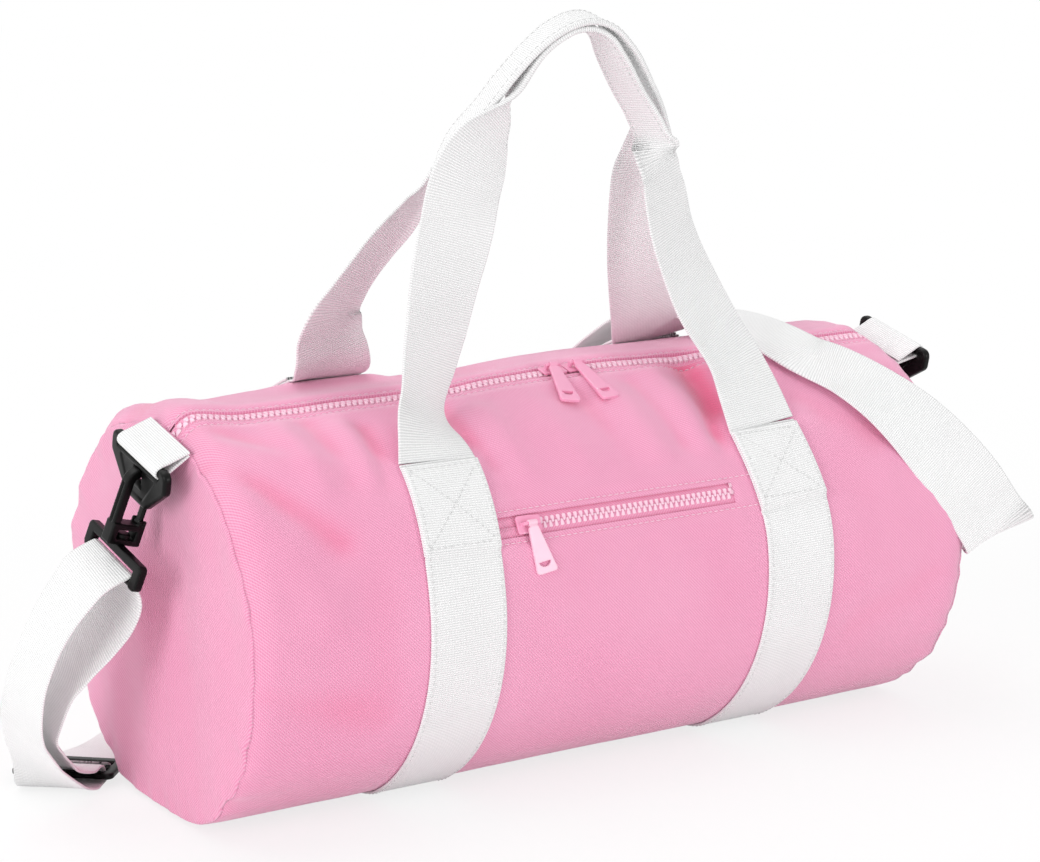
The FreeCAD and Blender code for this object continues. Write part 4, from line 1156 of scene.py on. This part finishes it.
def moulded(node, slot, material, voxel, swell, body=None, mesh=None):
    """A CAD piece with its edges rounded as a mould leaves them."""
    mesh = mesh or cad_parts[node].data.copy()
    piece = bpy.data.objects.new(node + "_moulded", mesh)
    bpy.context.scene.collection.objects.link(piece)
    remesh = piece.modifiers.new("skin", "REMESH")
    remesh.mode = "VOXEL"
    remesh.voxel_size = voxel
    fuller = piece.modifiers.new("fuller", "DISPLACE")
    fuller.strength = swell
    fuller.mid_level = 0.0
    round_off = piece.modifiers.new("round", "SMOOTH")
    round_off.factor = mould_round_share
    round_off.iterations = mould_passes
    thin = piece.modifiers.new("thin", "DECIMATE")
    thin.ratio = mould_kept_share
    bpy.context.view_layer.update()
    solved = piece.evaluated_get(bpy.context.evaluated_depsgraph_get())
    mesh = bpy.data.meshes.new_from_object(solved)
    piece.modifiers.clear()
    piece.data = mesh
    mesh.materials.clear()
    mesh.materials.append(material)
    mesh.polygons.foreach_set("use_smooth", [True] * len(mesh.polygons))
    return put(piece, body or node, slot, node)


# Building
def build_zips():
    stitches = []
    for side, name in ((1, "front"), (-1, "rear")):
        zip_tape(name + "_tape", roll_angle, side, -half_length, half_length, name + "_zip_tape")
        zip_teeth(name + "_teeth", roll_angle, side, -half_length, half_length,
                  (parted_from, parted_to), name + "_zip_teeth")
        angle = roll_angle + side * angle_of(slot_half + lip_stitch)
        places = [(x, angle) for x in steps_between(-half_length, half_length, grid_step)]
        stitches.append(shell_line(places, stitch_radius / 2.0))
    for side, name in ((1, "pocket_lower"), (-1, "pocket_upper")):
        inset = flush_inset if side > 0 else tape_inset
        zip_tape(name + "_tape", pocket_angle, side, pocket_left, pocket_right + tack_length,
                 name + "_zip_tape", inset)
        zip_teeth(name + "_teeth", pocket_angle, side, pocket_chain_from, pocket_chain_to,
                  (half_length, half_length), name + "_zip_teeth")
        angle = pocket_angle + side * angle_of(slot_half + lip_stitch)
        places = [(x, angle) for x in steps_between(pocket_stitch_left, pocket_stitch_right, grid_step)]
        stitches.append(shell_line(places, stitch_radius / 2.0))
    stitched("zip_stitches", stitches, pink_thread, "bag")
    tack = []
    angles = steps_between(pocket_angle - slot_spread, pocket_angle + slot_spread, tack_step)
    for share in tack_shares:
        x = pocket_right - tack_length * share
        tack.append([(zip_place(x, angle, 0.0, chain_lift), -axis_way(around(x, barrel_radius, angle)))
                     for angle in angles])
    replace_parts(stitched("pocket_tack", tack, pink_thread, "bag"), "pocket_end_tack")
    for node in ("main_slider_left", "main_slider_right", "pocket_slider"):
        moulded(node, "zip_slider", slider_paint, slider_voxel, slider_swell)
    for node, slider, paint, (wide, long) in (
            ("main_pull_left", "main_slider_left", pull_paint, main_pull_shares),
            ("main_pull_right", "main_slider_right", pull_paint, main_pull_shares),
            ("pocket_pull", "pocket_slider", pocket_pull_paint, pocket_pull_shares)):
        mesh = widened(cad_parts[node].data.copy(), slider, wide, long)
        moulded(node, "zip_pull", paint, slider_voxel, slider_swell, mesh=mesh)


def band_shift(side, angle):
    """How far the front of a band hangs askew."""
    top = roll_angle + box_top
    return front_box_shifts[side] * smooth_step(top + front_box_sway, top, angle)


def band_rows(side):
    """Rows of a band from the front box down round the bottom to the rear box."""
    rows = []
    front = roll_angle + box_top + band_setback + front_box_drops[side]
    rear = roll_angle - box_top - band_setback + 360.0
    front_foot = roll_angle + box_bottom
    rear_foot = roll_angle - box_bottom + 360.0
    single = layer_gap + webbing_thickness / 2.0
    double = single + webbing_thickness + layer_gap
    for angle in steps_between(front, rear, band_step):
        lapped = max(smooth_step(front_foot + box_step, front_foot, angle),
                     smooth_step(rear_foot - box_step, rear_foot, angle))
        lift = single + (double - single) * lapped
        place = side * band_place + band_shift(side, angle)
        point = around(place, plain_radius(place, angle) + lift, angle)
        rows.append((*point, 1.0, 0.0, 0.0, webbing_width, webbing_thickness))
    return rows


def box_place(side, facing, across, angle, lift):
    """A place on a sewn box, which hangs askew in front."""
    shift = band_shift(side, angle) if facing > 0 else 0.0
    return around(side * band_place + shift + across, barrel_radius + lift, angle)


def box_lines(side, facing, drop):
    """The sewn lines along the top and the foot of a box, and its cross."""
    top = roll_angle + facing * (box_top + drop + band_setback + angle_of(edge_inset))
    foot = roll_angle + facing * (box_bottom - angle_of(edge_inset))
    reach = webbing_width / 2.0 - edge_inset
    lift = 2.0 * layer_gap + 2.0 * webbing_thickness
    lines = []
    for start, end in ((top, top), (foot, foot), (top, foot), (foot, top)):
        line = []
        for share in steps_between(0.0, 1.0, 1.0 / box_line_steps):
            point = box_place(side, facing, (2.0 * share - 1.0) * reach, start + (end - start) * share, lift)
            line.append((point, -axis_way(point)))
        lines.append(line)
    return lines


def build_bands():
    for side, name in ((-1, "left"), (1, "right")):
        frames = row_frames(band_rows(side))
        put(ribbon(name + "_band_webbing", frames, webbing), "bag", "webbing", name + "_band")
        out = frames[0][0] - Vector((side * band_place, 0.0, axis_height))
        face = 1.0 if frames[0][2].dot(out) > 0.0 else -1.0
        lines = [ribbon_line(frames, edge_inset, face), ribbon_line(frames, -edge_inset, face)]
        for facing, way in ((1, "front_"), (-1, "rear_")):
            drop = front_box_drops[side] if facing > 0 else 0.0
            lines += box_lines(side, facing, drop)
            tail = []
            for turn in steps_between(box_top + drop, box_bottom + box_step / 2.0, band_step):
                angle = roll_angle + facing * turn
                point = box_place(side, facing, 0.0, angle, layer_gap + webbing_thickness / 2.0)
                tail.append((*point, 1.0, 0.0, 0.0, webbing_width, webbing_thickness))
            end = way + name + "_handle_end"
            put(ribbon(end + "_webbing", row_frames(tail), webbing), "bag", "webbing", end)
        stitched(name + "_band_stitches", lines, white_thread, "bag")


def bag_place(x, rear, up):
    """From the bag's own frame, zip uppermost, to the rolled bag."""
    turn = math.radians(roll_angle)
    return Vector((x, rear * math.cos(turn) - up * math.sin(turn),
                   axis_height + rear * math.sin(turn) + up * math.cos(turn)))


def bag_way(x, rear, up):
    return bag_place(x, rear, up) - bag_place(0.0, 0.0, 0.0)


def webbing_row(place, across, fold):
    """A row of handle webbing, from flat at fold 0 to the doubled grip at 1."""
    return (*place, *across, webbing_width + (grip_width - webbing_width) * fold,
            webbing_thickness + (grip_thickness - webbing_thickness) * fold)


def build_handles():
    for name, route in (("front", front_handle_route), ("rear", rear_handle_route)):
        rows = [webbing_row(row[0:3], row[3:6], row[6]) for row in route]
        smooth, marks = smooth_rows(rows, row_step)
        frames = row_frames(smooth)
        piece = ribbon(name + "_handle_webbing", frames, webbing)
        body = name + "_handle"
        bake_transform(piece)
        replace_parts(piece, body)
        doubled = [i for i, row in enumerate(rows) if row[6] < webbing_width - row_step]
        grip = frames[marks[doubled[0]]:marks[doubled[-1]] + 1]
        lines = []
        for face in (1.0, -1.0):
            lines.append(ribbon_line(grip, edge_inset, face))
            lines.append(ribbon_line(grip, -edge_inset, face))
        stitched(name + "_grip_stitches", lines, white_thread, body)


def tab_place(side, drop, out, up):
    """A place beside a ring's bar, out along the barrel and up in the bag."""
    return bag_place(side * (seam_reach + tab_outreach + out), 0.0, seam_height - drop + up)


def tab_side(seam_up, radius, upper):
    """One flat side of a tab, from the seam to where it meets the ring's bar."""
    reach = math.hypot(tab_outreach, seam_up)
    turn = math.atan2(seam_up, -tab_outreach) % (2.0 * math.pi) - upper * math.acos(radius / reach)
    meet = (radius * math.cos(turn), radius * math.sin(turn))
    tuck = (-tab_outreach - seam_depth, seam_up)
    return [(tuck[0] + (meet[0] - tuck[0]) * share, tuck[1] + (meet[1] - tuck[1]) * share)
            for share in tab_shares]


def build_tabs():
    across = tuple(bag_way(0.0, 1.0, 0.0))
    for side, name, drop in ((-1, "left", left_tab_drop), (1, "right", right_tab_drop)):
        radius = tab_bore + webbing_thickness / 2.0
        rows = tab_side(drop + webbing_thickness / 2.0, radius, 1)
        start = math.atan2(rows[-1][1], rows[-1][0])
        lower = tab_side(drop - webbing_thickness / 2.0 - layer_gap, radius, -1)
        end = math.atan2(lower[-1][1], lower[-1][0])
        for step in range(1, wrap_steps):
            turn = start + (end - start) * step / wrap_steps
            rows.append((radius * math.cos(turn), radius * math.sin(turn)))
        rows += reversed(lower)
        placed = []
        for out, up in rows:
            placed.append((*tab_place(side, drop, out, up), *across, webbing_width, webbing_thickness))
        smooth, _ = smooth_rows(placed, row_step / 2.0)
        piece = ribbon(name + "_tab_webbing", row_frames(smooth), webbing)
        put(piece, "bag", "webbing", name + "_tab_loop")


def buckle_wrap(side, drop, angles):
    tilt = math.radians(hook_tilt)
    reach = buckle_bar_drop * math.sin(tilt)
    height = -ring_reach - buckle_bar_drop * math.cos(tilt)
    radius = buckle_bar_radius + layer_gap + webbing_thickness / 2.0
    across = bag_way(0.0, 1.0, 0.0)
    rows = []
    for i in range(wrap_steps + 1):
        turn = math.radians(angles[0] + (angles[1] - angles[0]) * i / wrap_steps)
        place = tab_place(side, drop, reach + radius * math.cos(turn), height + radius * math.sin(turn))
        rows.append((*place, *across))
    return rows


def adjuster_row(along, height):
    turn = math.radians(adjuster_heading)
    return (adjuster_place[0] + along * math.cos(turn), adjuster_place[1] + along * math.sin(turn),
            height, -math.sin(turn), math.cos(turn), 0.0)


def backwards(rows):
    return [row[0:3] + tuple(-part for part in row[3:6]) for row in rows]


def strap_rows():
    middle = adjuster_lift + adjuster_thickness / 2.0
    over = adjuster_lift + adjuster_thickness + webbing_thickness
    under = adjuster_lift - webbing_thickness
    bar = adjuster_thickness / 2.0 + adjuster_slot / 2.0
    slot_end = adjuster_thickness / 2.0 + adjuster_slot
    floor = webbing_thickness / 2.0 + layer_gap
    start = [adjuster_row(0.0, over + layer_gap), adjuster_row(bar, middle), adjuster_row(0.0, under),
             adjuster_row(-bar, middle), adjuster_row(-slot_end, over + webbing_thickness),
             adjuster_row(-adjuster_half, over + 2.0 * webbing_thickness)]
    below = [adjuster_row(-adjuster_half, floor), adjuster_row(0.0, floor),
             adjuster_row(adjuster_half, floor)]
    rows = (start + loop_inside_route + buckle_wrap(-1, left_tab_drop, left_wrap) + loop_outside_route
            + below + backwards(back_route + front_run_route + front_route
                                + buckle_wrap(1, right_tab_drop, right_wrap) + end_route))
    return [tuple(row) + (webbing_width, webbing_thickness) for row in rows]


# Stretches of the strap by route row, and the bodies beside each one: a stretch with one body rides on it,
# one with two stays where it is built
strap_stretches = [
    ("turn", 0, 9, ("bag",)),
    ("inside_low", 9, 12, ("bag", "left_ring")),
    ("inside_middle", 12, 14, ("left_ring", "left_hook")),
    ("inside_high", 14, 15, ("left_hook", "left_buckle")),
    ("left_wrap", 15, 23, ("left_buckle",)),
    ("outside_high", 23, 25, ("left_buckle", "left_hook")),
    ("outside_middle", 25, 27, ("left_hook", "left_ring")),
    ("outside_low", 27, 30, ("left_ring", "bag")),
    ("run", 30, 59, ("bag",)),
    ("right_low", 59, 61, ("bag", "right_ring")),
    ("right_middle", 61, 63, ("right_ring", "right_hook")),
    ("right_high", 63, 64, ("right_hook", "right_buckle")),
    ("right_wrap", 64, 73, ("right_buckle",)),
]


def build_strap():
    rows, marks = smooth_rows(strap_rows(), row_step)
    frames = row_frames(rows)
    for name, first, last, bodies in strap_stretches:
        part = frames[marks[first]:marks[last] + 1]
        piece = ribbon("strap_" + name, part, webbing, capped=name in ("turn", "right_wrap"))
        if len(bodies) == 1:
            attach(piece, bodies[0])
        else:
            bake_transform(piece)
        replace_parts(piece, "shoulder_strap")


def build_clips():
    for side in ("left", "right"):
        for part in ("ring", "hook", "gate", "buckle"):
            node = side + "_" + part
            swell = ring_swell if part == "ring" else clip_swell
            moulded(node, "clip_plastic", black_plastic, clip_voxel, swell)
    moulded("strap_adjuster", "clip_plastic", black_plastic, clip_voxel, clip_swell, body="bag")


def build_inside():
    """The pocket's lining and the bindings of the end seams, hidden inside."""
    low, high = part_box("pocket_lining")
    xs = steps_between(low.x, high.x, grid_step * 2.0)
    angles = steps_between(lining_top, lining_bottom, inside_step)
    points = []
    maps = []
    for x in xs:
        for angle in angles:
            edge = min(x - low.x, high.x - x, arc_of(min(angle - lining_top, lining_bottom - angle)))
            crumple = noise.noise(Vector((x, angle * lining_crumple_arc, 0.0)) / crumple_size)
            sag = (lining_sag - lining_crumple * crumple) * smooth_step(0.0, lining_rim, edge)
            points.append(around(x, barrel_radius - fabric - lining_gap - sag, angle))
            maps.append((x, arc_of(angle)))
    piece = new_piece("pocket_pouch", points, grid_faces(len(xs), len(angles)), lining_cloth, maps)
    put(piece, "bag", "lining", "pocket_lining")
    for side, name in ((-1, "left"), (1, "right")):
        low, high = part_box(name + "_seam_binding")
        middle = (low.x + high.x) / 2.0
        rows = []
        for angle in steps_between(0.0, 360.0, inside_step):
            radius = plain_radius(side * half_length, angle) - seam_depth * 2.0
            rows.append((*around(middle, radius, angle), 1.0, 0.0, 0.0, high.x - low.x, webbing_thickness))
        piece = ribbon(name + "_binding", row_frames(rows), lining_cloth)
        put(piece, "bag", "binding", name + "_seam_binding")


# Stage
def white_rays(tree):
    """1 for the rays that see the studio's white, from the camera, gloss or glass."""
    path = tree.nodes.new("ShaderNodeLightPath").outputs
    seen = path["Is Camera Ray"]
    for name in ("Is Glossy Ray", "Is Transmission Ray"):
        either = tree.nodes.new("ShaderNodeMath")
        either.operation = "MAXIMUM"
        tree.links.new(seen, either.inputs[0])
        tree.links.new(path[name], either.inputs[1])
        seen = either.outputs["Value"]
    return seen


def build_stage():
    bpy.ops.mesh.primitive_plane_add(size=floor_size)
    floor = bpy.context.object
    floor.name = "floor"
    nodes = Nodes("studio_floor")
    place = nodes.add("ShaderNodeTexCoord").outputs["Object"]
    tint = nodes.ramp(nodes.noise(place, floor_clouds), linear(252, 252, 252), white)
    bump = nodes.bump(nodes.noise(place, floor_flecks), floor_relief, strength=0.1)
    nodes.finish(tint, floor_roughness, bump, Specular_IOR_Level=0.0)
    glow = nodes.add("ShaderNodeEmission").outputs["Emission"]
    blend = nodes.add("ShaderNodeMixShader")
    nodes.link(nodes.math("MULTIPLY", white_rays(nodes.tree), floor_white_share), blend.inputs["Fac"])
    nodes.link(nodes.shader.outputs["BSDF"], blend.inputs[1])
    nodes.link(glow, blend.inputs[2])
    nodes.link(blend.outputs["Shader"], nodes.tree.nodes["Material Output"].inputs["Surface"])
    floor.data.materials.append(nodes.material)


def build_light():
    world = bpy.data.worlds.new("studio")
    bpy.context.scene.world = world
    world.use_nodes = True
    tree = world.node_tree
    tree.nodes.clear()
    mix = tree.nodes.new("ShaderNodeMixShader")
    for socket, strength in ((mix.inputs[1], world_strength), (mix.inputs[2], 1.0)):
        studio = tree.nodes.new("ShaderNodeBackground")
        studio.inputs["Strength"].default_value = strength
        studio.inputs["Color"].default_value = white
        tree.links.new(studio.outputs["Background"], socket)
    tree.links.new(white_rays(tree), mix.inputs["Fac"])
    output = tree.nodes.new("ShaderNodeOutputWorld")
    tree.links.new(mix.outputs["Shader"], output.inputs["Surface"])
    for name, (aim, strength, spread) in lamps.items():
        data = bpy.data.lights.new(name, "SUN")
        data.energy = strength
        data.angle = math.radians(spread)
        lamp = bpy.data.objects.new(name, data)
        lamp.rotation_euler = Vector(aim).to_track_quat("-Z", "Y").to_euler()
        bpy.context.scene.collection.objects.link(lamp)


def build_camera():
    data = bpy.data.cameras.new("photo_camera")
    data.lens = camera_lens
    data.sensor_width = sensor_width
    data.sensor_fit = "HORIZONTAL"
    data.dof.use_dof = False
    camera = bpy.data.objects.new("photo_camera", data)
    camera.location = camera_place
    way = Vector(camera_target) - Vector(camera_place)
    camera.rotation_euler = way.to_track_quat("-Z", "Y").to_euler()
    bpy.context.scene.collection.objects.link(camera)
    bpy.context.scene.camera = camera


build_camera()
build_stage()
build_light()
build_barrel()
build_end(-1, "left")
build_end(1, "right")
build_zips()
build_bands()
build_handles()
build_tabs()
build_strap()
build_clips()
build_inside()
bpy.context.scene.view_settings.view_transform = "Standard"
